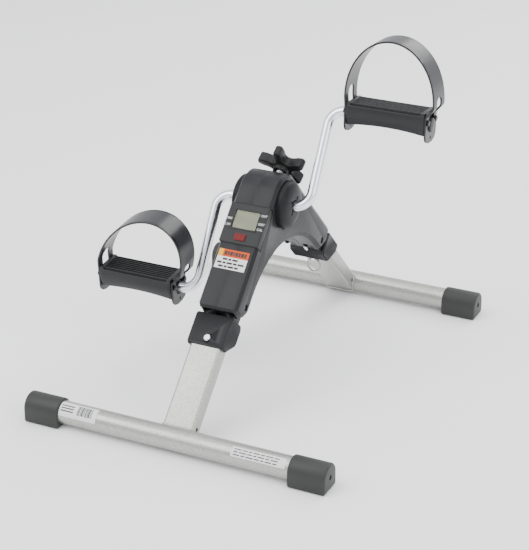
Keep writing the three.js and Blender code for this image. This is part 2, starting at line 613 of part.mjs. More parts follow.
function addCrank() {
  const { radius, throw: reach, armX, bend, angle, endX } = crank;
  const degrees = THREE.MathUtils.degToRad(angle);
  const arm = new THREE.Vector3(0, Math.cos(degrees), Math.sin(degrees));
  const place = (x, r) => crankCentre.clone().addScaledVector(arm, r).add(new THREE.Vector3(x + crank.float, 0, 0));
  const half = [];
  const steps = 6;
  for (let i = 0; i <= steps; i += 1) {
    const turn = (Math.PI / 2) * (i / steps);
    half.push([armX - bend + bend * Math.sin(turn), bend - bend * Math.cos(turn)]);
  }
  for (let i = 0; i <= steps; i += 1) {
    const turn = (Math.PI / 2) * (i / steps);
    half.push([armX + bend - bend * Math.cos(turn), reach - bend + bend * Math.sin(turn)]);
  }
  half.push([endX, reach]);
  const left = half.map(([x, r]) => place(-x, -r)).reverse();
  const right = half.map(([x, r]) => place(x, r));
  addMesh(object, 'crank_rod', sweptRod([...left, ...right], radius, mediumSides), brightZinc);

  const shaftBore = radius + gap;
  const { halfWidth } = drum;
  addMesh(object, 'brake_drum', turnedSolid([
    [shaftBore, -halfWidth], [drum.radius, -halfWidth], [drum.radius, halfWidth], [shaftBore, halfWidth],
  ], crankCentre, alongX), darkSteel);
  const wheelAt = halfWidth + gap;
  let wheel = turnedSolid([
    [shaftBore, wheelAt], [drum.radius + 1, wheelAt], [drum.radius + 1, wheelAt + 2.4], [shaftBore, wheelAt + 2.4],
  ], crankCentre, alongX);
  const magnetAt = crankCentre.clone().addScaledVector(arm, -11);
  wheel = wheel.subtract(acrossRod(wheelAt - 1, wheelAt + 4, magnetAt.y, magnetAt.z, 2.5, smallSides));
  addMesh(object, 'magnet_wheel', wheel, acetal);
  addMesh(object, 'sensor_magnet', acrossRod(wheelAt, wheelAt + 2.2, magnetAt.y, magnetAt.z, 2.2, smallSides), darkSteel);
}

// A strip bent round the crank axis, centred on the bolt.
function bandSolid(inside, outside, halfWidth) {
  const spread = THREE.MathUtils.degToRad(shoe.spread);
  const middle = Math.PI / 2 - boltAngle;
  const shape = new THREE.Shape();
  shape.absarc(0, 0, outside, middle - spread, middle + spread);
  shape.absarc(0, 0, inside, middle + spread, middle - spread, true);
  return sideSolid(shape, -halfWidth, halfWidth, { curve: 8 }).translate([0, 0, body.crankHeight]);
}

function addBrake() {
  const start = drum.radius + shoe.travel + gap;
  addMesh(object, 'brake_lining', bandSolid(start, start + shoe.lining, shoe.halfWidth), felt);
  const backStart = start + shoe.lining + gap;
  const backEnd = backStart + shoe.backing;
  const nutStart = backEnd + 0.6;
  let carrier = bandSolid(backStart, backEnd, shoe.halfWidth);
  carrier = carrier.subtract(rodSolid(onBolt(backStart + 0.8), onBolt(nutStart + 9), knob.boltRadius + 0.5));
  addMesh(object, 'brake_shoe', carrier, darkSteel);
  const nut = rodSolid(onBolt(nutStart), onBolt(nutStart + 4.4), 7.4, 4)
    .subtract(rodSolid(onBolt(nutStart - 1), onBolt(nutStart + 6), knob.boltRadius + runClear));
  addMesh(object, 'tension_nut', nut, brass);

  const boltEnd = knob.bottom + knob.thick - 4;
  const boltStart = backStart + 1.8;
  addMesh(object, 'tension_bolt', rodSolid(onBolt(boltStart), onBolt(boltEnd), knob.boltRadius), brightZinc);
  const clipAt = nutStart + 4.4 + gap;
  addMesh(object, 'bolt_retainer', turnedSolid([
    [knob.boltRadius + gap, 0], [6.8, 0], [6.8, 1.2], [knob.boltRadius + gap, 1.2],
  ], onBolt(clipAt), boltAxis, mediumSides), darkSteel);

  // One lobe points up the slope; each is a tapered finger, with a round valley after it.
  const lobe = new THREE.Shape();
  const apart = (2 * Math.PI) / knob.lobes;
  const polar = (along, across, angle) => [
    along * Math.cos(angle) - across * Math.sin(angle), along * Math.sin(angle) + across * Math.cos(angle),
  ];
  for (let i = 0; i < knob.lobes; i += 1) {
    const angle = -Math.PI / 2 + i * apart;
    if (i === 0) lobe.moveTo(...polar(knob.side, -knob.sideHalf, angle));
    lobe.lineTo(...polar(knob.shoulder, -knob.shoulderHalf, angle));
    lobe.lineTo(...polar(knob.reach, -knob.tipHalf, angle));
    lobe.lineTo(...polar(knob.reach, knob.tipHalf, angle));
    lobe.lineTo(...polar(knob.shoulder, knob.shoulderHalf, angle));
    lobe.lineTo(...polar(knob.side, knob.sideHalf, angle));
    lobe.quadraticCurveTo(...polar(knob.waist, 0, angle + apart / 2), ...polar(knob.side, -knob.sideHalf, angle + apart));
  }
  const turn = new THREE.Quaternion().setFromUnitVectors(new THREE.Vector3(0, 0, 1), boltAxis);
  const matrix = new THREE.Matrix4().compose(onBolt(knob.bottom), turn, new THREE.Vector3(1, 1, 1));
  let grip = toSolid(new THREE.ExtrudeGeometry(lobe, { depth: knob.thick, bevelEnabled: false, curveSegments: 6 }), matrix);
  grip = grip.add(rodSolid(onBolt(knob.hubBottom), onBolt(knob.bottom + 2), knob.hubRadius));
  grip = grip.subtract(rodSolid(onBolt(knob.hubBottom - 1), onBolt(boltEnd + gap), knob.boltRadius + gap));
  addMesh(object, 'tension_knob', grip, softBlack);
}

function addSensor() {
  const hollow = body.halfWidth - body.wall;
  const down = -body.crankHeight * slope;
  const out = body.crankHeight * slope + drum.radius + 5;
  const arm = new THREE.Group();
  arm.rotation.x = -Math.PI / 4;
  object.add(arm);
  addMesh(arm, 'reed_sensor', armBox(drum.halfWidth + 1, hollow - gap, down - 4, down + 8, out, out + 4), softBlack);
  const leadEnd = display.outer - display.wall - 6.2;
  const route = new THREE.CatmullRomCurve3([
    armPoint(16, down + 8 + gap, out + 2), armPoint(16, down + 14, out + 2.4),
    armPoint(15, display.top + 1.6, leadEnd - 6), armPoint(14, display.top + 8, leadEnd - 1.6),
    armPoint(14, display.top + 12, leadEnd - 1.3),
  ]);
  addMesh(arm, 'sensor_lead', new THREE.ExtrudeGeometry(circleShape(0.8, 8), {
    steps: 12, extrudePath: route, bevelEnabled: false,
  }), softBlack);
}

// ---- pedals -------------------------------------------------------------

function pedalProfile() {
  const { halfDepth, top, bottom, ribs } = pedal;
  const ribTop = top;
  const grooveFloor = top - 1.6;
  const pitch = (2 * halfDepth - 6) / ribs;
  const points = [[-halfDepth + 3.5, bottom], [halfDepth - 3.5, bottom], [halfDepth, 3], [halfDepth - 0.6, grooveFloor]];
  for (let i = 0; i < ribs; i += 1) {
    const right = halfDepth - 3 - i * pitch;
    const rib = pitch * 0.55;
    points.push([right, grooveFloor], [right - 0.4, ribTop], [right - rib + 0.4, ribTop], [right - rib, grooveFloor]);
  }
  points.push([-halfDepth + 0.6, grooveFloor], [-halfDepth, 3]);
  return polygon(points);
}

// The strap seen from the front: up one side, over the foot on a leaning
// ellipse and down again.
function strapShape(bend) {
  const { thick, base, tail } = strap;
  const side = pedal.plate - thick / 2;
  const wide = pedal.length / 2 + bend.spread;
  const rise = bend.peak - base;
  const stations = [];
  const lower = 4;
  const straightTo = peg.height + peg.head + 2;
  const flare = (end) => Array.from({ length: lower }, (_, i) => {
    const t = i / lower;
    const ease = t * t * (3 - 2 * t);
    return [end * side + (bend.middle + end * wide - end * side) * ease, straightTo + (base - straightTo) * t];
  });
  stations.push(...flare(1));
  const steps = 14;
  for (let i = 0; i <= steps; i += 1) {
    const angle = (Math.PI * i) / steps;
    const up = rise * Math.sin(angle);
    stations.push([bend.middle + wide * Math.cos(angle) + bend.lean * up, base + up]);
  }
  stations.push(...flare(-1).reverse());
  stations.unshift([side, -tail]);
  stations.push([-side, -tail]);
  const offset = (distance) => stations.map(([x, z], i) => {
    const [ax, az] = stations[Math.max(i - 1, 0)];
    const [bx, bz] = stations[Math.min(i + 1, stations.length - 1)];
    const length = Math.hypot(bx - ax, bz - az);
    return [x + (distance * (bz - az)) / length, z - (distance * (bx - ax)) / length];
  });
  return polygon([...offset(thick / 2), ...offset(-thick / 2).reverse()]);
}

function addPedal(side) {
  const sign = side === 'right' ? 1 : -1;
  const angle = THREE.MathUtils.degToRad(crank.angle);
  const group = new THREE.Group();
  group.rotation.x = THREE.MathUtils.degToRad(pitch[side]);
  group.position.set(sign * pedal.centre + crank.float, sign * crank.throw * Math.cos(angle),
    body.crankHeight + sign * crank.throw * Math.sin(angle));
  object.add(group);

  const { length, halfDepth, top, bottom, wall } = pedal;
  const half = length / 2;
  let solid = sideSolid(pedalProfile(), -half, half);
  for (const end of [-1, 1]) {
    const rimLow = Math.min(end * half, end * (half - 6));
    solid = solid.add(boxSolid(rimLow, rimLow + 6, -halfDepth + 0.6, halfDepth - 0.6, 4, top));
  }
  const bays = 3;
  const bayLength = (length - wall * (bays + 1)) / bays;
  const floor = top - 1.6 - wall;
  for (let i = 0; i < bays; i += 1) {
    const start = -half + wall + i * (bayLength + wall);
    solid = solid.subtract(boxSolid(start, start + bayLength, -halfDepth + wall + 2.4, halfDepth - wall - 2.4,
      bottom - 1, floor));
  }
  solid = solid.add(acrossRod(-pedal.plate - 0.6, pedal.plate + 0.6, 0, 0, pedal.boss));
  for (const end of [-1, 1]) {
    for (const y of [-peg.side, peg.side]) {
      solid = solid.add(acrossRod(end * (half - 2), end * (pedal.plate + 1), y, peg.height, peg.radius, smallSides));
      solid = solid.add(acrossRod(end * (pedal.plate + 0.4), end * (pedal.plate + 2), y, peg.height, peg.head, smallSides));
    }
  }
  solid = solid.subtract(acrossRod(-half - 9, half + 9, 0, 0, crank.radius + runClear));
  addMesh(group, `pedal_body_${side}`, solid, blackPlastic);

  let band = toSolid(new THREE.ExtrudeGeometry(strapShape(bends[side]), { depth: strap.width, bevelEnabled: false }),
    new THREE.Matrix4().makeRotationX(Math.PI / 2).premultiply(move(0, strap.width / 2, 0)));
  const wide = strap.width / 2;
  const { round } = strap;
  const end = new THREE.Shape();
  end.moveTo(-wide + round, -strap.tail);
  end.absarc(wide - round, -strap.tail + round, round, -Math.PI / 2, 0);
  end.lineTo(wide, bends[side].peak + 5);
  end.lineTo(-wide, bends[side].peak + 5);
  end.absarc(-wide + round, -strap.tail + round, round, Math.PI, Math.PI * 1.5);
  band = band.intersect(sideSolid(end, -80, 80, { curve: 3 }));
  const opening = roundedRect(strap.windowHalf, 22, strap.windowHalf - 0.5);
  band = band.subtract(sideSolid(opening, -80, 80, { curve: 3 }).translate([0, 0, 13]));
  for (const y of [-peg.side, peg.side]) {
    band = band.subtract(acrossRod(-80, 80, y, peg.height, peg.radius + 0.5, smallSides));
  }
  band = band.subtract(acrossRod(-80, 80, 0, -strap.tail + 6, 1.8, smallSides));
  addMesh(group, `pedal_strap_${side}`, band, strapVinyl);

  // A push-on cap over the rod's end.
  const capAt = pedal.plate + 0.6 + gap;
  const grip = crank.radius + gap;
  addMesh(group, `pedal_retainer_${side}`, turnedSolid([
    [grip, capAt], [grip + 2.4, capAt], [grip + 1.6, capAt + 1.2], [0, capAt + 1.5], [0, capAt + 0.7], [grip, capAt + 0.7],
  ], new THREE.Vector3(), alongX.clone().multiplyScalar(sign), mediumSides), blackPlastic);
}

// ---- assembly -----------------------------------------------------------

for (const end of ['front', 'rear']) addLegAssembly(end);
for (const side of ['left', 'right']) {
  addHousing(side);
  addBearing(side);
}
addHousingScrews();
addDisplay();
addSensor();
addCrank();
addBrake();
for (const side of ['left', 'right']) addPedal(side);

export default object;
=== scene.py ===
# Folding pedal exerciser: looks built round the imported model, in metres, +Z up.
# New pieces are modelled in millimetres in a frame of their own and then put in place.
import json
from math import cos, pi, radians, sin, sqrt

import bmesh
import bpy
from mathutils import Matrix, Vector

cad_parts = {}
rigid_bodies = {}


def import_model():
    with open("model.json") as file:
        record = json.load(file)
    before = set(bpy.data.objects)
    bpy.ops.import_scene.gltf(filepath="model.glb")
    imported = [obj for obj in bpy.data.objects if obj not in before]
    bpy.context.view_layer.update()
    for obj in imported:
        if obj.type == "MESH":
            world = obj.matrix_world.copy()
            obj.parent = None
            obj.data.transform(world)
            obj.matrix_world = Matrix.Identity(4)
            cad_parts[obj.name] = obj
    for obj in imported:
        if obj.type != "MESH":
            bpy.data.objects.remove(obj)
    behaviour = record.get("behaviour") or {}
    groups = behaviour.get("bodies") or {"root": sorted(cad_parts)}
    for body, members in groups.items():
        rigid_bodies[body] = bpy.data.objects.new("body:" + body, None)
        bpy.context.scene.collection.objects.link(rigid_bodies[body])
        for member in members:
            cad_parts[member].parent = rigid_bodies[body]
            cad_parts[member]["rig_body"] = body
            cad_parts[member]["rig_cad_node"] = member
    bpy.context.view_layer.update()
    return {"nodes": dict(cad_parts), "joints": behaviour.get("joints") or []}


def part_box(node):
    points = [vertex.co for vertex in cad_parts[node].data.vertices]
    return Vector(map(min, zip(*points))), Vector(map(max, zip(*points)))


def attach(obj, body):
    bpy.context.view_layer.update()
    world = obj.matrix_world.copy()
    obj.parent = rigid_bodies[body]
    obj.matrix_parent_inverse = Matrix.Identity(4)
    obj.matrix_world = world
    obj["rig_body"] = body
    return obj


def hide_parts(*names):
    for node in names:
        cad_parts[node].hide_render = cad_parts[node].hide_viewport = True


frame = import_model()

nodes = frame["nodes"]
joints = {joint["name"]: joint for joint in frame["joints"]}
crankHeight = joints["crank_spin"]["pos_m"][2] * 1000
diagonal = sqrt(0.5)
armFrames = {
    "front": Matrix.Rotation(-pi / 4, 4, "X"),
    "rear": Matrix.Rotation(pi, 4, "Z") @ Matrix.Rotation(-pi / 4, 4, "X"),
}  # X across, Y inwards, Z up the slope of that arm
mirrorSides = {"left": -1, "right": 1}


# Working in edit mode

def deselectAll():
    if bpy.context.object and bpy.context.object.mode != "OBJECT":
        bpy.ops.object.mode_set(mode="OBJECT")
    bpy.ops.object.select_all(action="DESELECT")


def choose(piece):
    deselectAll()
    piece.select_set(True)
    bpy.context.view_layer.objects.active = piece
    return piece


def startEdit(piece, mode="FACE"):
    choose(piece)
    bpy.ops.object.mode_set(mode="EDIT")
    bpy.ops.mesh.select_mode(type=mode)
    bpy.ops.mesh.select_all(action="DESELECT")


def pickAll():
    bpy.ops.mesh.select_all(action="SELECT")


def turnOutwards():
    pickAll()
    bpy.ops.mesh.normals_make_consistent(inside=False)


def endEdit():
    bpy.ops.object.mode_set(mode="OBJECT")


def pickFaces(piece, test):
    mesh = bmesh.from_edit_mesh(piece.data)
    for face in mesh.faces:
        if test(face.calc_center_median(), face.normal):
            face.select_set(True)
    mesh.select_flush_mode()
    bmesh.update_edit_mesh(piece.data)


def pickEdges(piece, test):
    mesh = bmesh.from_edit_mesh(piece.data)
    for edge in mesh.edges:
        if all(test(vertex.co) for vertex in edge.verts):
            edge.select_set(True)
    bmesh.update_edit_mesh(piece.data)


def applyPlace(piece):
    choose(piece)
    bpy.ops.object.transform_apply(location=True, rotation=True, scale=True)
    return piece


def useModifier(piece, kind, **settings):
    choose(piece)
    modifier = piece.modifiers.new(kind.lower(), kind)
    for key, value in settings.items():
        setattr(modifier, key, value)
    bpy.ops.object.modifier_apply(modifier=modifier.name)
    return piece


def roundEdges(piece, width, segments=3, angle=35):
    return useModifier(piece, "BEVEL", width=width, segments=segments, limit_method="ANGLE",
                       angle_limit=radians(angle), use_clamp_overlap=True)


def cut(piece, cutter, operation="DIFFERENCE"):
    useModifier(piece, "BOOLEAN", object=cutter, operation=operation, solver="EXACT")
    bpy.data.objects.remove(cutter)
    return piece


def joined(first, *others):
    choose(first)
    for other in others:
        other.select_set(True)
    bpy.ops.object.join()
    return first


def copied(piece):
    twin = piece.copy()
    twin.data = piece.data.copy()
    bpy.context.scene.collection.objects.link(twin)
    return twin


# Starting shapes, in millimetres

def block(x0, x1, y0, y1, z0, z1):
    deselectAll()
    bpy.ops.mesh.primitive_cube_add(size=1, location=((x0 + x1) / 2, (y0 + y1) / 2, (z0 + z1) / 2))
    piece = bpy.context.object
    piece.scale = (x1 - x0, y1 - y0, z1 - z0)
    return applyPlace(piece)


def rod(start, end, radius, sides=48):
    start, end = Vector(start), Vector(end)
    deselectAll()
    turn = (end - start).to_track_quat("Z", "Y").to_euler()
    bpy.ops.mesh.primitive_cylinder_add(vertices=sides, radius=radius, depth=(end - start).length,
                                        location=(start + end) / 2, rotation=turn)
    return applyPlace(bpy.context.object)


# An outline in (y, z), filled and drawn out from x0 to x1 in equal steps.
def slab(outline, x0, x1, steps=1):
    deselectAll()
    bpy.ops.mesh.primitive_circle_add(vertices=len(outline), fill_type="NGON")
    piece = bpy.context.object
    for vertex, (y, z) in zip(piece.data.vertices, outline):
        vertex.co = (x0, y, z)
    startEdit(piece)
    pickAll()
    for _ in range(steps):
        bpy.ops.mesh.extrude_region_move(TRANSFORM_OT_translate={"value": ((x1 - x0) / steps, 0, 0)})
    turnOutwards()
    endEdit()
    return piece


# A closed profile of (radius, distance) spun about the X axis.
def turned(profile, steps=64):
    deselectAll()
    bpy.ops.mesh.primitive_circle_add(vertices=len(profile), fill_type="NOTHING")
    piece = bpy.context.object
    for vertex, (radius, along) in zip(piece.data.vertices, profile):
        vertex.co = (along, radius, 0)
    startEdit(piece, "VERT")
    pickAll()
    bpy.ops.mesh.spin(steps=steps, angle=2 * pi, center=(0, 0, 0), axis=(1, 0, 0))
    pickAll()
    bpy.ops.mesh.remove_doubles(threshold=0.002)
    bpy.ops.mesh.delete_loose()
    turnOutwards()
    endEdit()
    return piece


# A round wire through a list of points.
def wire(points, radius, closed=False):
    path = bpy.data.curves.new("wire", "CURVE")
    path.dimensions = "3D"
    path.bevel_depth = radius
    path.bevel_resolution = 3
    path.use_fill_caps = not closed
    spline = path.splines.new("POLY")
    spline.points.add(len(points) - 1)
    for point, place in zip(spline.points, points):
        point.co = (*place, 1)
    spline.use_cyclic_u = closed
    piece = bpy.data.objects.new("wire", path)
    bpy.context.scene.collection.objects.link(piece)
    choose(piece)
    bpy.ops.object.convert(target="MESH")
    return bpy.context.object


# A merged copy of a CAD node, back in millimetres, with its flat faces whole again.
def carriedCopy(node):
    piece = copied(nodes[node])
    piece.parent = None
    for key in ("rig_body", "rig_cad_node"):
        del piece[key]
    piece.data.materials.clear()
    piece.data.transform(Matrix.Scale(1000, 4))
    startEdit(piece, "VERT")
    pickAll()
    bpy.ops.mesh.remove_doubles(threshold=0.004)
    bpy.ops.mesh.dissolve_limited(angle_limit=radians(0.6))
    endEdit()
    return piece


def roundedOutline(halfA, halfB, corner, steps=6, midA=0, midB=0):
    points = []
    for quarter, (signA, signB) in enumerate([(1, 1), (-1, 1), (-1, -1), (1, -1)]):
        for step in range(steps + 1):
            angle = (quarter + step / steps) * pi / 2
            points.append((midA + signA * (halfA - corner) + corner * cos(angle),
                           midB + signB * (halfB - corner) + corner * sin(angle)))
    return points


# Puts a finished piece in place, says what it moves with and hides the CAD node it stands for.
def finishPiece(piece, name, body, material, standsFor=None, place=Matrix(), smooth=35):
    piece.name = name
    piece.data.name = name
    piece.data.transform(place)
    piece.data.transform(Matrix.Scale(0.001, 4))
    choose(piece)
    if smooth:
        bpy.ops.object.shade_smooth_by_angle(angle=radians(smooth))
    if not piece.data.materials:
        piece.data.materials.append(material)
    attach(piece, body)
    if standsFor:
        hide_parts(standsFor)
    return piece


# Shared effects

def setInputs(node, values):
    for label, value in values.items():
        node.inputs[label].default_value = value


def addNode(tree, kind, **inputs):
    node = tree.nodes.new(kind)
    setInputs(node, inputs)
    return node


def mathNode(tree, operation, first, second=None, clamp=False):
    node = tree.nodes.new("ShaderNodeMath")
    node.operation = operation
    node.use_clamp = clamp
    for index, value in enumerate((first, second)):
        if value is None:
            continue
        if isinstance(value, (int, float)):
            node.inputs[index].default_value = value
        else:
            tree.links.new(value, node.inputs[index])
    return node.outputs[0]


def newGroup(name, inputs, outputs):
    group = bpy.data.node_groups.new(name, "ShaderNodeTree")
    for label, value in inputs.items():
        item = group.interface.new_socket(name=label, in_out="INPUT", socket_type="NodeSocketFloat")
        item.default_value = value
    for label in outputs:
        group.interface.new_socket(name=label, in_out="OUTPUT", socket_type="NodeSocketFloat")
    return group, group.nodes.new("NodeGroupInput"), group.nodes.new("NodeGroupOutput")


# Fine moulded or sprayed grain, with a slow unevenness over the whole surface.
def makeGrainGroup():
    group, given, out = newGroup("surfaceGrain", {"Scale": 900.0, "Patch": 30.0}, ["Height", "Uneven"])
    place = group.nodes.new("ShaderNodeTexCoord")
    fine = addNode(group, "ShaderNodeTexNoise", Detail=4)
    slow = addNode(group, "ShaderNodeTexNoise", Detail=3)
    for noise, label in ((fine, "Scale"), (slow, "Patch")):
        group.links.new(place.outputs["Object"], noise.inputs["Vector"])
        group.links.new(given.outputs[label], noise.inputs["Scale"])
    group.links.new(fine.outputs["Fac"], out.inputs["Height"])
    group.links.new(slow.outputs["Fac"], out.inputs["Uneven"])
    return group


# Sharp edges that have been rubbed, broken up by noise.
def makeRubGroup():
    group, given, out = newGroup("edgeRub", {"Radius": 0.0008, "Amount": 1.0}, ["Mask"])
    place = group.nodes.new("ShaderNodeTexCoord")
    rounded = group.nodes.new("ShaderNodeBevel")
    rounded.samples = 4
    group.links.new(given.outputs["Radius"], rounded.inputs["Radius"])
    shape = group.nodes.new("ShaderNodeNewGeometry")
    dot = group.nodes.new("ShaderNodeVectorMath")
    dot.operation = "DOT_PRODUCT"
    group.links.new(rounded.outputs[0], dot.inputs[0])
    group.links.new(shape.outputs["Normal"], dot.inputs[1])
    away = mathNode(group, "SUBTRACT", 1.0, dot.outputs["Value"])
    noise = addNode(group, "ShaderNodeTexNoise", Scale=160, Detail=5)
    group.links.new(place.outputs["Object"], noise.inputs["Vector"])
    strong = mathNode(group, "MULTIPLY", away, given.outputs["Amount"])
    broken = mathNode(group, "MULTIPLY", strong, noise.outputs["Fac"])
    group.links.new(mathNode(group, "MULTIPLY", broken, 9.0, clamp=True), out.inputs["Mask"])
    return group


# Flat metallic flakes in a sprayed finish.
def makeFlakeGroup():
    group, given, out = newGroup("metalFlake", {"Scale": 1400.0}, ["Flake", "Height"])
    place = group.nodes.new("ShaderNodeTexCoord")
    cells = group.nodes.new("ShaderNodeTexVoronoi")
    group.links.new(place.outputs["Object"], cells.inputs["Vector"])
    group.links.new(given.outputs["Scale"], cells.inputs["Scale"])
    split = group.nodes.new("ShaderNodeSeparateColor")
    group.links.new(cells.outputs["Color"], split.inputs[0])
    group.links.new(split.outputs[0], out.inputs["Flake"])
    group.links.new(cells.outputs["Distance"], out.inputs["Height"])
    return group


grainGroup = makeGrainGroup()
rubGroup = makeRubGroup()
flakeGroup = makeFlakeGroup()


def useGroup(tree, group, **values):
    node = tree.nodes.new("ShaderNodeGroup")
    node.node_tree = group
    setInputs(node, values)
    return node


# Noise sits mostly between a quarter and three quarters; this spreads it from low to high.
def span(tree, source, low, high):
    node = tree.nodes.new("ShaderNodeMapRange")
    setInputs(node, {"From Min": 0.25, "From Max": 0.75, "To Min": low, "To Max": high})
    tree.links.new(source, node.inputs["Value"])
    return node.outputs["Result"]


def mixColours(tree, mask, first, second):
    node = tree.nodes.new("ShaderNodeMix")
    node.data_type = "RGBA"
    tree.links.new(mask, node.inputs["Factor"])
    for label, value in (("A", first), ("B", second)):
        target = next(item for item in node.inputs if item.name == label and item.type == "RGBA")
        if isinstance(value, (tuple, list)):
            target.default_value = (*value, 1)
        else:
            tree.links.new(value, target)
    return next(item for item in node.outputs if item.type == "RGBA")


def bumped(tree, shader, height, depth, strength):
    bump = addNode(tree, "ShaderNodeBump", Distance=depth, Strength=strength)
    tree.links.new(height, bump.inputs["Height"])
    tree.links.new(bump.outputs["Normal"], shader.inputs["Normal"])


def startMaterial(name):
    material = bpy.data.materials.new(name)
    material.use_nodes = True
    tree = material.node_tree
    return material, tree, tree.nodes["Principled BSDF"]


# Plastic, rubber and vinyl: uneven colour, moulded grain and rubbed edges.
def mouldedMaterial(name, colour, worn, rough, grain, depth, rub=1.0, specular=0.5):
    material, tree, shader = startMaterial(name)
    surface = useGroup(tree, grainGroup, Scale=grain, Patch=26.0)
    edges = useGroup(tree, rubGroup, Radius=0.0007, Amount=rub)
    shade = mixColours(tree, span(tree, surface.outputs["Uneven"], 0.0, 1.0),
                       tuple(0.88 * value for value in colour), tuple(1.1 * value for value in colour))
    shade = mixColours(tree, edges.outputs["Mask"], shade, worn)
    tree.links.new(shade, shader.inputs["Base Color"])
    tree.links.new(span(tree, surface.outputs["Uneven"], rough - 0.05, rough + 0.06), shader.inputs["Roughness"])
    shader.inputs["Specular IOR Level"].default_value = specular
    bumped(tree, shader, surface.outputs["Height"], depth, 0.6)
    return material


# Sprayed silver: flakes, a soft orange peel and rubbed edges.
def silverPaint(name, colour, rough):
    material, tree, shader = startMaterial(name)
    surface = useGroup(tree, grainGroup, Scale=420.0, Patch=14.0)
    flakes = useGroup(tree, flakeGroup, Scale=1500.0)
    edges = useGroup(tree, rubGroup, Radius=0.0008, Amount=0.5)
    shade = mixColours(tree, flakes.outputs["Flake"], tuple(0.72 * value for value in colour),
                       tuple(min(1.0, 1.25 * value) for value in colour))
    shade = mixColours(tree, edges.outputs["Mask"], shade, (0.62, 0.62, 0.6))
    tree.links.new(shade, shader.inputs["Base Color"])
    tree.links.new(span(tree, surface.outputs["Uneven"], rough - 0.04, rough + 0.05), shader.inputs["Roughness"])
    shader.inputs["Metallic"].default_value = 0.65
    bumped(tree, shader, surface.outputs["Height"], 0.00012, 0.5)
    return material


# Plated or bare metal with faint streaks.
def bareMetal(name, colour, rough, streak=(60.0, 60.0, 60.0), shift=0.12):
    material, tree, shader = startMaterial(name)
    place = tree.nodes.new("ShaderNodeTexCoord")
    stretch = tree.nodes.new("ShaderNodeMapping")
    stretch.inputs["Scale"].default_value = streak
    noise = addNode(tree, "ShaderNodeTexNoise", Scale=1.0, Detail=4)
    tree.links.new(place.outputs["Object"], stretch.inputs["Vector"])
    tree.links.new(stretch.outputs["Vector"], noise.inputs["Vector"])
    shade = mixColours(tree, span(tree, noise.outputs["Fac"], 0.0, 1.0),
                       tuple((1 - shift) * value for value in colour), colour)
    tree.links.new(shade, shader.inputs["Base Color"])
    tree.links.new(span(tree, noise.outputs["Fac"], rough - 0.04, rough + 0.06), shader.inputs["Roughness"])
    shader.inputs["Metallic"].default_value = 1.0
    grain = useGroup(tree, grainGroup, Scale=1200.0, Patch=40.0)
    bumped(tree, shader, grain.outputs["Height"], 0.00003, 0.4)
    return material


# Flexible vinyl, from the strap's own UV: the lighter middle is a painted sheen and the dark, thin edges are painted
# shade on its rim.
def sheenAndShadeVinyl(name, middle, edge):
    material, tree, shader = startMaterial(name)
    surface = useGroup(tree, grainGroup, Scale=500.0, Patch=22.0)
    place = tree.nodes.new("ShaderNodeUVMap")
    place.uv_map = "UVMap"
    split = tree.nodes.new("ShaderNodeSeparateXYZ")
    tree.links.new(place.outputs["UV"], split.inputs[0])
    away = mathNode(tree, "ABSOLUTE", mathNode(tree, "SUBTRACT", split.outputs["Y"], 0.5))
    # painted shade: this mask darkens the strap towards both edges
    edgeShadeMask = tree.nodes.new("ShaderNodeMapRange")
    edgeShadeMask.interpolation_type = "SMOOTHSTEP"
    setInputs(edgeShadeMask, {"From Min": 0.39, "From Max": 0.44})
    tree.links.new(away, edgeShadeMask.inputs["Value"])
    uneven = mixColours(tree, span(tree, surface.outputs["Uneven"], 0.0, 1.0),
                        tuple(0.8 * value for value in middle), middle)
    tree.links.new(mixColours(tree, edgeShadeMask.outputs["Result"], uneven, edge), shader.inputs["Base Color"])
    tree.links.new(span(tree, surface.outputs["Uneven"], 0.27, 0.38), shader.inputs["Roughness"])
    bumped(tree, shader, surface.outputs["Height"], 0.0001, 0.5)
    return material


def clearPane():
    material, tree, shader = startMaterial("clearPane")
    setInputs(shader, {"Base Color": (0.93, 0.95, 0.9, 1), "Transmission Weight": 1.0, "IOR": 1.3})
    surface = useGroup(tree, grainGroup, Scale=60.0, Patch=40.0)
    tree.links.new(span(tree, surface.outputs["Uneven"], 0.03, 0.1), shader.inputs["Roughness"])
    return material


def printedPaper(name, colour, rough=0.5):
    material, tree, shader = startMaterial(name)
    shader.inputs["Specular IOR Level"].default_value = 0.2
    surface = useGroup(tree, grainGroup, Scale=1500.0, Patch=60.0)
    shade = mixColours(tree, surface.outputs["Uneven"], tuple(0.9 * value for value in colour), colour)
    tree.links.new(shade, shader.inputs["Base Color"])
    tree.links.new(span(tree, surface.outputs["Uneven"], rough - 0.05, rough + 0.05), shader.inputs["Roughness"])
    bumped(tree, shader, surface.outputs["Height"], 0.00002, 0.3)
    return material


silver = silverPaint("silverPaint", (0.4, 0.4, 0.376), 0.31)
housingPlastic = mouldedMaterial("housingPlastic", (0.015, 0.0153, 0.0165), (0.07, 0.07, 0.073),
                                 0.36, 1100, 0.00008, specular=0.2)
coverPlastic = mouldedMaterial("coverPlastic", (0.013, 0.0133, 0.0145), (0.06, 0.06, 0.062),
                               0.42, 1300, 0.00005, 0.7, specular=0.12)
pedalPlastic = mouldedMaterial("pedalPlastic", (0.015, 0.015, 0.016), (0.07, 0.07, 0.072),
                               0.34, 1000, 0.00008, specular=0.27)
knobPlastic = mouldedMaterial("knobPlastic", (0.013, 0.013, 0.0135), (0.06, 0.06, 0.06),
                              0.42, 800, 0.0001, specular=0.24)
capRubber = mouldedMaterial("capRubber", (0.028, 0.0295, 0.027), (0.065, 0.065, 0.062),
                            0.48, 700, 0.00014, 0.8, specular=0.3)
# the lighter middle colour is a painted sheen and the near-black edge colour is painted shade
strapVinyl = sheenAndShadeVinyl("strapVinyl", (0.026, 0.026, 0.028), (0.004, 0.004, 0.0045))
zinc = bareMetal("brightZinc", (0.9, 0.93, 0.97), 0.25, (40.0, 40.0, 40.0), 0.08)
ringWire = bareMetal("ringWire", (0.36, 0.36, 0.37), 0.22)
steel = bareMetal("plainSteel", (0.33, 0.34, 0.36), 0.36)
brassMetal = bareMetal("brassNut", (0.66, 0.49, 0.22), 0.32)
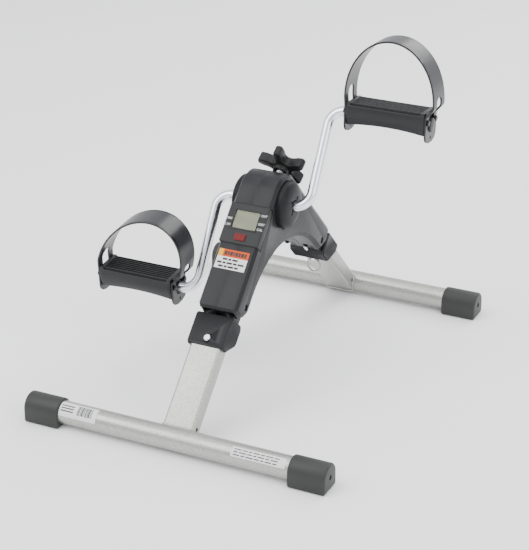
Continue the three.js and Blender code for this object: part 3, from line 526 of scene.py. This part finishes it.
buttonRed = mouldedMaterial("buttonRed", (0.13, 0.009, 0.008), (0.22, 0.03, 0.028),
                            0.45, 900, 0.00005, 0.5, specular=0.18)
lcdGrey = printedPaper("lcdGrey", (0.25, 0.25, 0.15), 0.4)
segmentInk = printedPaper("segmentInk", (0.12, 0.125, 0.09), 0.35)
boardGreen = mouldedMaterial("boardGreen", (0.03, 0.16, 0.07), (0.1, 0.2, 0.1), 0.4, 400, 0.00005)
paleAcetal = mouldedMaterial("paleAcetal", (0.74, 0.72, 0.66), (0.8, 0.78, 0.72), 0.4, 900, 0.00005)
brownFelt = mouldedMaterial("brownFelt", (0.25, 0.17, 0.08), (0.3, 0.22, 0.12), 0.9, 2500, 0.0004)
# painted shade: a near-black ring that stands for the shade in the recess round the button
paintedRecessShade = mouldedMaterial("paintedRecessShade", (0.012, 0.012, 0.012), (0.02, 0.02, 0.02), 0.6, 900, 0.00005)
labelWhite = printedPaper("labelWhite", (0.78, 0.78, 0.77))
labelOrange = printedPaper("labelOrange", (0.6, 0.07, 0.001))
labelYellow = printedPaper("labelYellow", (0.82, 0.4, 0.02))
inkGrey = printedPaper("inkGrey", (0.035, 0.035, 0.035))
inkWhite = printedPaper("inkWhite", (0.72, 0.72, 0.72))
paneGlass = clearPane()
print("materials made")


# Camera, light and floor

view = {"camera": (0.8765, -1.8280, 1.0634), "target": (-0.0119, 0.0187, 0.1135), "lens": 117.22, "sensor": 36}


def makeCamera():
    deselectAll()
    place, target = Vector(view["camera"]), Vector(view["target"])
    bpy.ops.object.camera_add(location=place, rotation=(target - place).to_track_quat("-Z", "Y").to_euler())
    camera = bpy.context.object
    camera.data.lens = view["lens"]
    camera.data.sensor_width = view["sensor"]
    bpy.context.scene.camera = camera


studio = {
    "key": ((-1.1, -1.3, 2.0), 1.6, 36), "fill": ((1.9, -0.7, 1.3), 1.5, 16),
    "rim": ((0.5, 1.9, 1.7), 1.6, 30), "top": ((0.0, 0.0, 2.6), 2.2, 30),
}  # place, side and watts of each soft box


def makeStudio():
    for name, (place, side, power) in studio.items():
        deselectAll()
        aim = (Vector((0, 0, 0.18)) - Vector(place)).to_track_quat("-Z", "Y").to_euler()
        bpy.ops.object.light_add(type="AREA", location=place, rotation=aim)
        light = bpy.context.object
        light.name = f"{name}_light"
        light.data.size = side
        light.data.energy = power
    world = bpy.data.worlds.new("paleRoom")
    world.use_nodes = True
    setInputs(world.node_tree.nodes["Background"], {"Color": (0.95, 0.96, 1.0, 1), "Strength": 1.3})
    bpy.context.scene.world = world
    deselectAll()
    bpy.ops.mesh.primitive_plane_add(size=14, location=(0, 0, -0.0004))
    floor = bpy.context.object
    floor.name = "floor"
    material, _, shader = startMaterial("paleFloor")
    setInputs(shader, {"Base Color": (0.95, 0.95, 0.95, 1), "Roughness": 0.75})
    floor.data.materials.append(material)


makeCamera()
makeStudio()
print("camera, light and floor made")


# Foot tubes, caps and legs

foot = {"radius": 14, "wall": 1.5, "length": 384, "reach": 245.5, "height": 16.2}
cap = {"halfWidth": 16.75, "length": 47, "reach": 197, "end": 5, "round": 2.6, "mouthRound": 0.5, "plug": 3.2,
       "plugDepth": 1.4, "play": 0.3}
leg = {"halfWidth": 20, "halfDepth": 10, "corner": 3.2, "wall": 1.6, "mid": 179.4, "top": 15, "drain": 3.5,
       "drainRadius": 2.9, "bead": 1.5, "ripple": 0.15}
endSign = {"front": -1, "rear": 1}


def makeFootTube(end):
    tube = turned([(foot["radius"], -foot["length"] / 2), (foot["radius"], foot["length"] / 2),
                   (foot["radius"] - foot["wall"], foot["length"] / 2),
                   (foot["radius"] - foot["wall"], -foot["length"] / 2)], 96)
    place = Matrix.Translation((0, endSign[end] * foot["reach"], foot["height"]))
    finishPiece(tube, f"{end}_tube", f"{end}_leg", silver, f"{end}_foot_tube", place)


def makeCap():
    deselectAll()
    bpy.ops.mesh.primitive_circle_add(vertices=96, radius=cap["halfWidth"], fill_type="NGON",
                                      rotation=(pi / 2, 0, pi / 2), location=(0, 0, foot["height"]))
    piece = applyPlace(bpy.context.object)
    startEdit(piece, "EDGE")
    pickAll()
    bpy.ops.mesh.bisect(plane_co=(0, 0, foot["height"]), plane_no=(0, 0, 1), clear_inner=True, use_fill=False)
    bpy.ops.mesh.select_all(action="DESELECT")
    pickEdges(piece, lambda at: abs(at.z - foot["height"]) < 0.01)
    bpy.ops.mesh.extrude_edges_move(TRANSFORM_OT_translate={"value": (0, 0, -foot["height"])})
    pickAll()
    bpy.ops.mesh.remove_doubles(threshold=0.001)
    bpy.ops.mesh.dissolve_limited(angle_limit=radians(0.5))
    pickAll()
    bpy.ops.mesh.extrude_region_move(TRANSFORM_OT_translate={"value": (cap["length"], 0, 0)})
    turnOutwards()
    endEdit()
    roundEdges(piece, cap["round"], 4, 40)
    bore = rod((-1, 0, foot["height"]), (cap["length"] - cap["end"], 0, foot["height"]),
               foot["radius"] + cap["play"], 96)
    cut(piece, bore)
    plug = rod((cap["length"] - cap["plugDepth"], 0, foot["height"]), (cap["length"] + 1, 0, foot["height"]),
               cap["plug"], 32)
    cut(piece, plug)
    roundEdges(piece, cap["mouthRound"], 2, 60)
    return piece


def placeCaps():
    master = makeCap()
    for end, fore in endSign.items():
        for side, sign in mirrorSides.items():
            place = Matrix.Translation((sign * (cap["reach"] - cap["length"]), fore * foot["reach"], 0))
            if sign < 0:
                place = place @ Matrix.Rotation(pi, 4, "Z")
            finishPiece(copied(master), f"{end}_{side}_cap", f"{end}_leg", capRubber,
                        f"{end}_foot_cap_{side}", place)
    bpy.data.objects.remove(master)


# The leg's outline is drawn across and through; the bead follows where it meets the foot tube.
def makeLeg(end):
    footDown = (foot["reach"] - foot["height"]) * diagonal
    footOut = (foot["reach"] + foot["height"]) * diagonal
    length = footDown - 5 - leg["top"]
    tube = block(-leg["halfWidth"], leg["halfWidth"], -leg["mid"] - leg["halfDepth"], -leg["mid"] + leg["halfDepth"],
                 -leg["top"] - length, -leg["top"])
    startEdit(tube, "EDGE")
    mesh = bmesh.from_edit_mesh(tube.data)
    for edge in mesh.edges:
        if abs(edge.verts[0].co.z - edge.verts[1].co.z) > 1:
            edge.select_set(True)
    bpy.ops.mesh.bevel(offset=leg["corner"], segments=6)
    endEdit()
    wall = leg["wall"]
    inside = roundedOutline(leg["halfWidth"] - wall, leg["halfDepth"] - wall, leg["corner"] - wall, 4)
    hollow = slab(inside, -length - 60, 60)
    hollow.data.transform(Matrix.Translation((0, -leg["mid"], -leg["top"])) @ Matrix.Rotation(-pi / 2, 4, "Y")
                          @ Matrix.Rotation(pi / 2, 4, "X"))
    cut(tube, hollow)
    cut(tube, rod((-60, -footOut, -footDown), (60, -footOut, -footDown), foot["radius"] + 0.1, 96))
    drainDown = footDown - foot["radius"] - leg["drain"]
    cut(tube, rod((-60, -leg["mid"], -drainDown), (60, -leg["mid"], -drainDown), leg["drainRadius"], 32))
    finishPiece(tube, f"{end}_leg", f"{end}_leg", silver, f"{end}_leg_tube", armFrames[end])

    points = []
    outline = roundedOutline(leg["halfWidth"] + 0.2, leg["halfDepth"] + 0.2, leg["corner"] + 0.2, 5)
    for index, (across, through) in enumerate(outline):
        away = max(-foot["radius"], min(foot["radius"], leg["mid"] + through - footOut))
        down = footDown - sqrt(foot["radius"] ** 2 - away ** 2)
        if leg["mid"] + through - footOut < -foot["radius"]:
            down = footDown - 1
        ripple = leg["ripple"] * sin(2.4 * index)
        points.append((across, -(leg["mid"] + through) + ripple, -down + 0.4 + ripple))
    smoothPoints = []
    for index, point in enumerate(points):
        after = points[(index + 1) % len(points)]
        reach = (Vector(after) - Vector(point)).length
        count = max(1, int(reach / 2.2))
        for step in range(count):
            place = Vector(point).lerp(Vector(after), step / count)
            if reach > 4:
                place.z = beadHeight(place, footDown, footOut) + 0.2 * sin(1.9 * step)
            smoothPoints.append(tuple(place))
    bead = wire(smoothPoints, leg["bead"], closed=True)
    finishPiece(bead, f"{end}_weld_bead", f"{end}_leg", silver, place=armFrames[end], smooth=60)


def beadHeight(place, footDown, footOut):
    away = -place.y - footOut
    if abs(away) >= foot["radius"]:
        return -footDown + 1
    return -footDown + sqrt(foot["radius"] ** 2 - away ** 2) + 0.4


placeCaps()
for end in endSign:
    makeFootTube(end)
    makeLeg(end)
print("feet and legs made")


# Hinge collars, pins and rings

ringSizes = {"radius": 9.2, "wire": 0.85, "gap": 1.4, "steps": 96, "start": 0.4}
collarRound = 0.7


def makeCollar(end):
    collar = carriedCopy(f"{end}_hinge_collar")
    roundEdges(collar, collarRound, 3, 38)
    finishPiece(collar, f"{end}_collar", f"{end}_leg", housingPlastic, f"{end}_hinge_collar")


# Two close turns of wire, threaded through the eye of the lock pin.
def makeRing(end):
    low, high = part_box(f"{end}_pull_ring")
    middle = (low + high) * 500
    points = []
    for step in range(2 * ringSizes["steps"] + 1):
        angle = 2 * pi * step / ringSizes["steps"] + ringSizes["start"]
        shift = ringSizes["gap"] * (step / (2 * ringSizes["steps"]) - 0.5)
        points.append((middle.x + ringSizes["radius"] * cos(angle), middle.y + shift,
                       middle.z + ringSizes["radius"] * sin(angle)))
    ring = wire(points, ringSizes["wire"])
    finishPiece(ring, f"{end}_split_ring", f"{end}_ring", ringWire, f"{end}_pull_ring", smooth=60)


def makeSmallCopy(node, body, material, bevel):
    piece = carriedCopy(node)
    roundEdges(piece, bevel, 2)
    finishPiece(piece, f"{node}_fine", body, material, node)


for end in endSign:
    makeCollar(end)
    makeRing(end)
    makeSmallCopy(f"{end}_collar_screw", f"{end}_leg", zinc, 0.12)
    makeSmallCopy(f"{end}_lock_pin", f"{end}_latch", zinc, 0.2)
print("collars, pins and rings made")


# Body shell

shell = {"round": 0.6}
bearing = {"rim": 29.3, "rimHeight": 6, "crown": 13, "seat": 24.9, "wall": 2.4, "hole": 7.15,
           "holeRound": 0.8, "flat": 12, "slotAt": 10.6, "slotLong": 2.7, "slotHalf": 1.5, "slotRound": 1.4}


def makeHousing(side):
    housing = carriedCopy(f"housing_{side}")
    roundEdges(housing, shell["round"], 3, 30)
    finishPiece(housing, f"body_shell_{side}", "frame", housingPlastic, f"housing_{side}", smooth=28)


def makeBearingCover(side, sign):
    steps = 14
    rim, crown, wall = bearing["rim"], bearing["crown"], bearing["wall"]
    rise = crown - bearing["rimHeight"]

    def dome(radius, height):
        return [(radius - (radius - bearing["flat"]) * (1 - cos(pi / 2 * step / steps)),
                 height + rise * sin(pi / 2 * step / steps)) for step in range(steps + 1)]

    outside = [(rim, 0)] + dome(rim, bearing["rimHeight"])
    hole, holeRound = bearing["hole"], bearing["holeRound"]
    lip = [(hole + holeRound, crown), (hole, crown - holeRound), (hole, crown - wall)]
    inside = dome(rim - wall, bearing["rimHeight"] - wall)[::-1] + [(rim - wall, 0)]
    cover = turned(outside + lip + inside, 96)
    for quarter in range(4):
        angle = pi / 4 + pi / 2 * quarter
        slot = slab(roundedOutline(bearing["slotLong"], bearing["slotHalf"], bearing["slotRound"]), 0, 30)
        slot.data.transform(Matrix.Rotation(angle, 4, "X") @ Matrix.Translation((0, bearing["slotAt"], 0)))
        cut(cover, slot)
    place = Matrix.Translation((sign * bearing["seat"], 0, crankHeight))
    if sign < 0:
        place = place @ Matrix.Rotation(pi, 4, "Z")
    finishPiece(cover, f"round_cover_{side}", "frame", coverPlastic, f"bearing_cover_{side}", place,
                smooth=45)


for side, sign in mirrorSides.items():
    makeHousing(side)
    makeBearingCover(side, sign)
print("body shell made")


# Display

display = {
    "outer": 196.6, "windowTop": -127, "windowBottom": -103, "windowHalf": 16,
    "buttonAt": -92, "buttonWidth": 14, "buttonHeight": 8.6, "proud": 1.6, "frame": 1.6, "frameWidth": 1.8,
    "segmentDepth": 2.25, "surround": 1.1,
}
words = {
    "TIME": (-21.6, -112.8), "SCAN": (-21.6, -104.9),
    "CNT": (21.4, -122.5), "DIST": (21.6, -111.4), "CAL": (21.4, -104.5),
}  # across and down the slope
wordSize = 4.1
digits = {"count": 4, "left": -12, "apart": 6.2, "line": 0.7, "row": 4.6, "thick": 0.05}


# Stands a sheet from slab on the front arm: its first axis runs up the slope and its second across.
def onSlope(inwards, up=0):
    return Matrix(((0, 0, 1, 0), (-1, 0, 0, -display["outer"] + inwards), (0, 1, 0, up), (0, 0, 0, 1)))


def makeDisplayCase():
    case = carriedCopy("display_case")
    roundEdges(case, 0.5, 3, 30)
    finishPiece(case, "display_bezel", "frame", housingPlastic, "display_case")


def makeWindowFrame():
    outerA = display["windowHalf"] + display["frame"]
    outerB = (display["windowBottom"] - display["windowTop"]) / 2 + display["frame"]
    width = display["frameWidth"]
    middle = (display["windowTop"] + display["windowBottom"]) / 2
    ring = slab(roundedOutline(outerB, outerA, 1.6, midA=-middle), 0, 0.7)
    hole = slab(roundedOutline(outerB - width, outerA - width, 0.8, midA=-middle), -2, 3)
    cut(ring, hole)
    ring.data.transform(onSlope(0.1))
    roundEdges(ring, 0.25, 2, 40)
    finishPiece(ring, "window_frame", "frame", knobPlastic, place=armFrames["front"])


def makeWords():
    for index, (word, (across, down)) in enumerate(words.items()):
        deselectAll()
        bpy.ops.object.text_add()
        text = bpy.context.object
        text.data.body = word
        text.data.size = wordSize
        text.data.extrude = 0.04
        text.data.offset = 0.02
        text.data.align_x = "CENTER"
        choose(text)
        bpy.ops.object.convert(target="MESH")
        piece = bpy.context.object
        piece.data.transform(Matrix.Translation((across, -display["outer"] - 0.02, -down))
                             @ Matrix.Rotation(pi / 2, 4, "X"))
        finishPiece(piece, f"display_word_{index + 1}", "frame", inkWhite, place=armFrames["front"], smooth=None)


def makeSegments():
    bars = []
    middle = (display["windowTop"] + display["windowBottom"]) / 2
    line, row, thick = digits["line"], digits["row"], digits["thick"]
    for digit in range(digits["count"]):
        left = digits["left"] + digits["apart"] * digit
        for low in (0, 4.6, 9.2):
            bars.append(block(left + 0.4, left + 3.6, 0, thick, low, low + line))
        for upper in (0, 1):
            for edge in (0, 3.3):
                bars.append(block(left + edge, left + edge + line, 0, thick, 0.6 + row * upper, 4.7 + row * upper))
    face = joined(*bars)
    face.data.transform(Matrix.Translation((0, -display["outer"] + display["segmentDepth"], -middle - 5)))
    finishPiece(face, "lcd_segments", "frame", segmentInk, place=armFrames["front"], smooth=None)


def makeButton():
    half, tall = display["buttonWidth"] / 2, display["buttonHeight"] / 2
    button = slab(roundedOutline(tall, half, 1.4), 0, display["proud"] + 3)
    button.data.transform(onSlope(3, -display["buttonAt"]))
    startEdit(button)
    pickFaces(button, lambda at, normal: normal.y < -0.9)
    bpy.ops.mesh.inset(thickness=1.0, depth=-0.25)
    endEdit()
    roundEdges(button, 0.3, 3, 25)
    finishPiece(button, "red_button", "button", buttonRed, "reset_button", armFrames["front"])
    # The surround is painted shade: a flat dark ring where the recess round the button falls into shade.
    well = slab(roundedOutline(tall + display["surround"], half + display["surround"], 1.9), 0, 0.35)
    well.data.transform(onSlope(0.1, -display["buttonAt"]))
    opening = slab(roundedOutline(half + 0.25, tall + 0.25, 1.5), -10, 10)
    opening.data.transform(Matrix(((0, 1, 0, 0), (1, 0, 0, -display["outer"]), (0, 0, 1, -display["buttonAt"]),
                                   (0, 0, 0, 1))))
    cut(well, opening)
    finishPiece(well, "button_surround", "frame", paintedRecessShade, place=armFrames["front"])


makeDisplayCase()
makeWindowFrame()
makeWords()
makeSegments()
makeButton()
print("display made")


# Crank rod

crank = {"radius": 6.25, "throw": 125, "armX": 61, "bend": 20, "angle": 59}
rodLow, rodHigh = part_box("crank_rod")
crank["endX"] = (rodHigh.x - rodLow.x) * 500
crank["float"] = (rodHigh.x + rodLow.x) * 500
crankPlane = (Matrix.Translation((crank["float"], 0, crankHeight))
              @ Matrix.Rotation(radians(crank["angle"]), 4, "X"))


# A round bar, drawn straight and spun round each bend, from the left pedal to the right one.
def makeCrank():
    bend, throw, armX = crank["bend"], crank["throw"], crank["armX"]
    deselectAll()
    bpy.ops.mesh.primitive_circle_add(vertices=40, radius=crank["radius"], fill_type="NOTHING",
                                      location=(-crank["endX"] + 1, -throw, 0), rotation=(0, pi / 2, 0))
    bar = applyPlace(bpy.context.object)
    startEdit(bar, "EDGE")
    pickAll()

    def straight(x, y):
        bpy.ops.mesh.extrude_region_move(TRANSFORM_OT_translate={"value": (x, y, 0)})

    def turn(x, y, direction):
        bpy.ops.mesh.spin(steps=14, angle=-direction * pi / 2, center=(x, y, 0), axis=(0, 0, 1))

    straight(crank["endX"] - 1 - armX - bend, 0)
    turn(-armX - bend, -throw + bend, 1)
    straight(0, throw - 2 * bend)
    turn(-armX + bend, -bend, -1)
    straight(2 * (armX - bend), 0)
    turn(armX - bend, bend, 1)
    straight(0, throw - 2 * bend)
    turn(armX + bend, throw - bend, -1)
    straight(crank["endX"] - 1 - armX - bend, 0)
    bpy.ops.mesh.select_all(action="DESELECT")
    for end in (-1, 1):
        pickEdges(bar, lambda at: abs(at.x - end * (crank["endX"] - 1)) < 0.01)
        bpy.ops.mesh.edge_face_add()
        bpy.ops.mesh.select_all(action="DESELECT")
    turnOutwards()
    endEdit()
    roundEdges(bar, 0.8, 3, 50)
    finishPiece(bar, "bent_crank", "crank", zinc, "crank_rod", crankPlane, smooth=50)


makeCrank()
print("crank made")


# Tension knob

knob = {"tilt": 57.5, "lobes": 5, "reach": 31.8, "tip": 28, "tipHalf": 4.9, "side": 23, "sideHalf": 5.9, "waist": 5.5,
        "bottom": 49.1, "thick": 14, "hubRadius": 9.5, "hubBottom": 45, "round": 2.4, "boltRadius": 4,
        "dish": 12.6, "dishRadius": 11, "stem": 24, "stemEnd": 60, "thread": 0.35}
crownRing = [(0, 8), (13, 8), (13, 13.4), (11.5, 14), (8.5, 13.6), (8, 12.6), (0, 12.4)]  # radius and height
knobFrame = (Matrix.Translation((0, 0, crankHeight)) @ Matrix.Rotation(-radians(knob["tilt"]), 4, "X")
             @ Matrix.Rotation(-pi / 2, 4, "Y"))  # X runs out along the bolt


def makeKnob():
    finger, valley = [], []
    side, half = knob["side"], knob["sideHalf"]
    for step in range(13):
        angle = -pi / 2 + pi * step / 12
        finger.append((knob["tip"] + (knob["reach"] - knob["tip"]) * cos(angle), knob["tipHalf"] * sin(angle)))
    finger = [(side, -half)] + finger + [(side, half)]
    apart = 2 * pi / knob["lobes"]
    start, end = Vector((side, half)), Matrix.Rotation(apart, 2) @ Vector((side, -half))
    middle = Matrix.Rotation(apart / 2, 2) @ Vector((knob["waist"], 0))
    for step in range(1, 12):
        t = step / 12
        valley.append(start * (1 - t) ** 2 + middle * 2 * t * (1 - t) + end * t * t)
    outline = []
    for index in range(knob["lobes"]):
        turn = Matrix.Rotation(pi + index * apart, 2)
        outline += [tuple(turn @ Vector(point)) for point in finger + valley]
    grip = slab(outline, knob["bottom"], knob["bottom"] + knob["thick"])
    roundEdges(grip, knob["round"], 5, 50)
    hub = turned([(0, knob["hubBottom"]), (knob["hubRadius"], knob["hubBottom"]),
                  (knob["hubRadius"] + 1.5, knob["bottom"] + 3), (0, knob["bottom"] + 3)], 48)
    cut(grip, hub, "UNION")
    crown = turned([(radius, knob["bottom"] + up) for radius, up in crownRing], 64)
    dish = rod((knob["bottom"] + knob["dish"], 0, 0), (knob["bottom"] + 20, 0, 0), knob["dishRadius"], 48)
    cut(grip, dish)
    cut(grip, crown, "UNION")
    cut(grip, rod((knob["hubBottom"] - 2, 0, 0), (knob["bottom"] + 10, 0, 0), knob["boltRadius"] + 0.3))
    finishPiece(grip, "knob_grip", "knob", knobPlastic, "tension_knob", knobFrame, smooth=40)
    radius, first, last = knob["boltRadius"], knob["stem"], knob["stemEnd"]
    ridges = [(radius - knob["thread"] * (step % 2), first + 1 + 0.5 * step) for step in range(50)]
    stem = turned([(0, first), (radius - 0.5, first), (radius, first + 0.5)] + ridges
                  + [(radius, last), (0, last)], 40)
    finishPiece(stem, "knob_stem", "knob", zinc, "tension_bolt", knobFrame, smooth=50)


makeKnob()
print("knob made")


# Pedals and straps

pedal = {"length": 100, "halfDepth": 19, "top": 17, "bottom": -11.5, "crease": 3, "deck": 14,
         "taper": 3.4, "shoulder": 0.6, "edgeRound": 1.1, "bays": 3, "bayInset": 5, "bayRound": 1.5,
         "ribs": 8, "ribHeight": 2.9, "ribHalf": 0.85, "ribInset": 3, "rim": 5.5, "arch": 3.5, "wall": 2.6,
         "boss": 7.4, "bossProud": 3.4, "bore": 6.6}
strap = {"halfWidth": 17.5, "thick": 2.2, "side": 51.6, "straightTo": 10.6, "base": 25, "tail": 21.8, "round": 12,
         "slotHalf": 8, "slotLow": -9, "slotHigh": 35}
bends = {
    "left": {"middle": 6, "wide": 57.5, "lean": 0.28, "peak": 92},
    "right": {"middle": 4, "wide": 56.5, "lean": 0, "peak": 97},
}  # the strap's middle line over each pedal
peg = {"side": 12.6, "height": 5, "radius": 3.5}
pitches = {"left": 5, "right": -3.3}


def makePedalBody():
    half, depth = pedal["length"] / 2, pedal["halfDepth"]
    top, low = pedal["top"], pedal["bottom"]
    taper, shoulder = pedal["taper"], pedal["shoulder"]
    outline = [(-depth + taper, low), (depth - taper, low), (depth, pedal["crease"]),
               (depth - shoulder, pedal["deck"]), (-depth + shoulder, pedal["deck"]), (-depth, pedal["crease"])]
    body = slab(outline, -half, half, 20)
    for vertex in body.data.vertices:
        if vertex.co.z < low + 0.1:
            vertex.co.z += pedal["arch"] * (1 - (vertex.co.x / half) ** 2)
    roundEdges(body, pedal["edgeRound"], 3, 30)
    bays, inset = pedal["bays"], pedal["bayInset"]
    pitch = (pedal["length"] - pedal["wall"]) / bays
    for index in range(bays):
        start = -half + pedal["wall"] + index * pitch
        hollow = block(start, start + pitch - pedal["wall"], -depth + inset, depth - inset,
                       low - 2, pedal["deck"] - pedal["wall"])
        cut(body, roundEdges(hollow, pedal["bayRound"], 2))
    parts = []
    for end in (-1, 1):
        rim = block(*sorted((end * half, end * (half - pedal["rim"]))), -depth + 1.2, depth - 1.2,
                    pedal["deck"] - 3, top)
        parts.append(roundEdges(rim, 1.0, 3))
    step = (2 * depth - 5) / pedal["ribs"]
    ribEnd = half - pedal["ribInset"]
    for index in range(pedal["ribs"]):
        middle = -depth + 2.5 + step * (index + 0.5)
        rib = block(-ribEnd, ribEnd, middle - pedal["ribHalf"], middle + pedal["ribHalf"],
                    pedal["deck"] - 1, pedal["deck"] + pedal["ribHeight"])
        parts.append(roundEdges(rib, 0.5, 2))
    bossEnd = half + pedal["bossProud"]
    parts.append(rod((-bossEnd, 0, 0), (bossEnd, 0, 0), pedal["boss"], 48))
    for end in (-1, 1):
        for side in (-1, 1):
            def pegPart(start, stop, radius, sides):
                return rod((end * (half + start), side * peg["side"], peg["height"]),
                           (end * (half + stop), side * peg["side"], peg["height"]), radius, sides)

            stud, head = pegPart(-3, 4.6, peg["radius"] - 1.3, 24), pegPart(3.2, 4.9, peg["radius"], 32)
            parts += [stud, roundEdges(head, 0.6, 3)]
    for part in parts:
        cut(body, part, "UNION")
    cut(body, rod((-70, 0, 0), (70, 0, 0), pedal["bore"], 48))
    return body


# The strap's middle line seen from the front, as (across, up) from its right end to its left.
def strapLine(bend, count):
    low, base, side = strap["straightTo"], strap["base"], strap["side"]

    def upright(end):
        line = [(end * side, -strap["tail"] + (low + strap["tail"]) * step / 14) for step in range(14)]
        for step in range(10):
            t = step / 10
            away = bend["middle"] + end * bend["wide"] - end * side
            line.append((end * side + away * t * t * (3 - 2 * t), low + (base - low) * t))
        return line

    arc = []
    for step in range(count + 1):
        up = (bend["peak"] - base) * sin(pi * step / count)
        arc.append((bend["middle"] + bend["wide"] * cos(pi * step / count) + bend["lean"] * up, base + up))
    return upright(1) + arc + upright(-1)[::-1]


def makeStrap(bend):
    line = strapLine(bend, 56)
    columns = 8
    deselectAll()
    bpy.ops.mesh.primitive_grid_add(x_subdivisions=len(line) - 1, y_subdivisions=columns, size=2)
    band = bpy.context.object
    last = len(line) - 1
    for vertex in band.data.vertices:
        row = round((vertex.co.x + 1) / 2 * last)
        across, up = line[row]
        fromEnd = up + strap["tail"]
        half = strap["halfWidth"]
        if fromEnd < strap["round"]:
            half += sqrt(max(0.0, strap["round"] ** 2 - (strap["round"] - fromEnd) ** 2)) - strap["round"]
        vertex.co = (across, vertex.co.y * half, up)
    startEdit(band)
    turnOutwards()
    endEdit()
    useModifier(band, "SOLIDIFY", thickness=strap["thick"], offset=0)
    middle = (strap["slotLow"] + strap["slotHigh"]) / 2
    tall = (strap["slotHigh"] - strap["slotLow"]) / 2
    window = slab(roundedOutline(strap["slotHalf"], tall, strap["slotHalf"] - 0.4, 10, midB=middle), -80, 80)
    cut(band, window)
    cut(band, rod((-80, 0, -strap["tail"] + 6), (80, 0, -strap["tail"] + 6), 1.8, 24))
    roundEdges(band, 0.5, 2, 50)
    return band


def placePedals():
    bodyMaster = makePedalBody()
    for side in mirrorSides:
        axle = Vector(joints[f"pedal_{side}_spin"]["pos_m"]) * 1000
        place = Matrix.Translation(axle) @ Matrix.Rotation(radians(pitches[side]), 4, "X")
        finishPiece(copied(bodyMaster), f"pedal_tray_{side}", f"pedal_{side}", pedalPlastic,
                    f"pedal_body_{side}", place)
        finishPiece(makeStrap(bends[side]), f"foot_strap_{side}", f"pedal_{side}", strapVinyl,
                    f"pedal_strap_{side}", place, smooth=40)
        makeSmallCopy(f"pedal_retainer_{side}", "crank", pedalPlastic, 0.3)
    bpy.data.objects.remove(bodyMaster)


placePedals()
print("pedals made")


# Labels

frontLabel = {"left": -21, "right": 19, "top": -75, "bottom": -50, "out": 195.25, "thick": 0.05, "band": 9.5}


def sheetOnArm(x0, x1, down0, down1, out):
    return block(x0, x1, -out - frontLabel["thick"], -out, -down1, -down0)


def painted(piece, material):
    piece.data.materials.append(material)
    return piece


def makeFrontLabel():
    left, right, top, bottom, out = (frontLabel[key] for key in ("left", "right", "top", "bottom", "out"))
    bandEnd = top + frontLabel["band"]
    parts = [painted(sheetOnArm(left, right, top, bottom, out), labelWhite),
             painted(sheetOnArm(left + 6, right, top, bandEnd, out + 0.04), labelOrange),
             painted(sheetOnArm(left, left + 6.2, top, bandEnd, out + 0.04), labelYellow)]
    x = left + 8  # the heading is a row of dark bars, and so are the lines below it
    for width in (3.4, 2.2, 3.6, 1.8, 3.4, 2.6, 3.8, 2.4):
        parts.append(painted(sheetOnArm(x, x + width, top + 2.2, bandEnd - 2.2, out + 0.08), inkGrey))
        x += width + 0.8
    for row, (start, end) in enumerate(((8, 33), (2, 38), (5, 36))):
        low = bandEnd + 1.8 + 4.7 * row
        x = left + start
        for width in (6.2, 4.0, 7.4, 5.0, 8.0, 3.6):
            if x + width > left + end + 1:
                break
            parts.append(painted(sheetOnArm(x, x + width, low, low + 2.5, out + 0.08), inkGrey))
            x += width + 1.2
    label = joined(*parts)
    finishPiece(label, "front_label", "frame", labelWhite, place=armFrames["front"], smooth=None)


tubeTags = {"left": (-152, -100, 10, 88), "right": (78, 146, 20, 70)}  # from x to x, low and high angle


# A thin patch wrapped round the foot tube, between two angles above the front.
def tubePatch(x0, x1, angle0, angle1, radius, material):
    deselectAll()
    bpy.ops.mesh.primitive_grid_add(x_subdivisions=1, y_subdivisions=12, size=2)
    patch = bpy.context.object
    for vertex in patch.data.vertices:
        angle = radians(angle0 + (angle1 - angle0) * (vertex.co.y + 1) / 2)
        vertex.co = (x0 + (x1 - x0) * (vertex.co.x + 1) / 2, -radius * cos(angle), radius * sin(angle))
    useModifier(patch, "SOLIDIFY", thickness=0.04, offset=1)
    return painted(patch, material)


def makeTubeLabels():
    surface = foot["radius"] + 0.03
    place = Matrix.Translation((0, -foot["reach"], foot["height"]))
    parts = [tubePatch(*tubeTags["left"], surface, labelWhite)]
    x = -126
    for index in range(13):
        width = (0.6, 1.3, 0.5, 0.9, 1.6, 0.5)[index % 6]
        parts.append(tubePatch(x, x + width, 30, 80, surface + 0.05, inkGrey))
        x += width + (0.7, 0.5, 1.0, 0.6)[index % 4]
    for row in range(3):
        parts.append(tubePatch(-148, -131, 36 + 14 * row, 42 + 14 * row, surface + 0.05, inkGrey))
    label = joined(*parts)
    finishPiece(label, "front_tube_tag_left", "front_leg", labelWhite, place=place, smooth=30)
    parts = [tubePatch(*tubeTags["right"], surface, labelWhite)]
    for row in range(3):
        x = 81
        for index in range(9):
            width = (8, 5, 9, 6, 4)[(index + row) % 5]
            if x + width > 143:
                break
            parts.append(tubePatch(x, x + width, 28 + 14 * row, 33 + 14 * row, surface + 0.05, inkGrey))
            x += width + 1.6
    label = joined(*parts)
    finishPiece(label, "front_tube_tag_right", "front_leg", labelWhite, place=place, smooth=30)


makeFrontLabel()
makeTubeLabels()
print("labels made")


# Finishes of the pieces that stay as they are

carriedFinishes = {
    "hinge_pin": steel, "lock_spring": steel, "housing_screw": steel, "crank_bush": paleAcetal,
    "lcd_window": paneGlass, "lcd_panel": lcdGrey, "display_board": boardGreen, "button_cell": zinc,
    "reed_sensor": knobPlastic, "sensor_lead": knobPlastic, "brake_drum": steel, "magnet_wheel": paleAcetal,
    "sensor_magnet": steel, "brake_lining": brownFelt, "brake_shoe": steel, "tension_nut": brassMetal,
    "bolt_retainer": steel,
}


def finishCarried():
    for name, node in nodes.items():
        material = next((value for key, value in carriedFinishes.items() if key in name), housingPlastic)
        for materialSlot in node.material_slots:
            materialSlot.material = material


finishCarried()
deselectAll()
print("carried pieces finished")
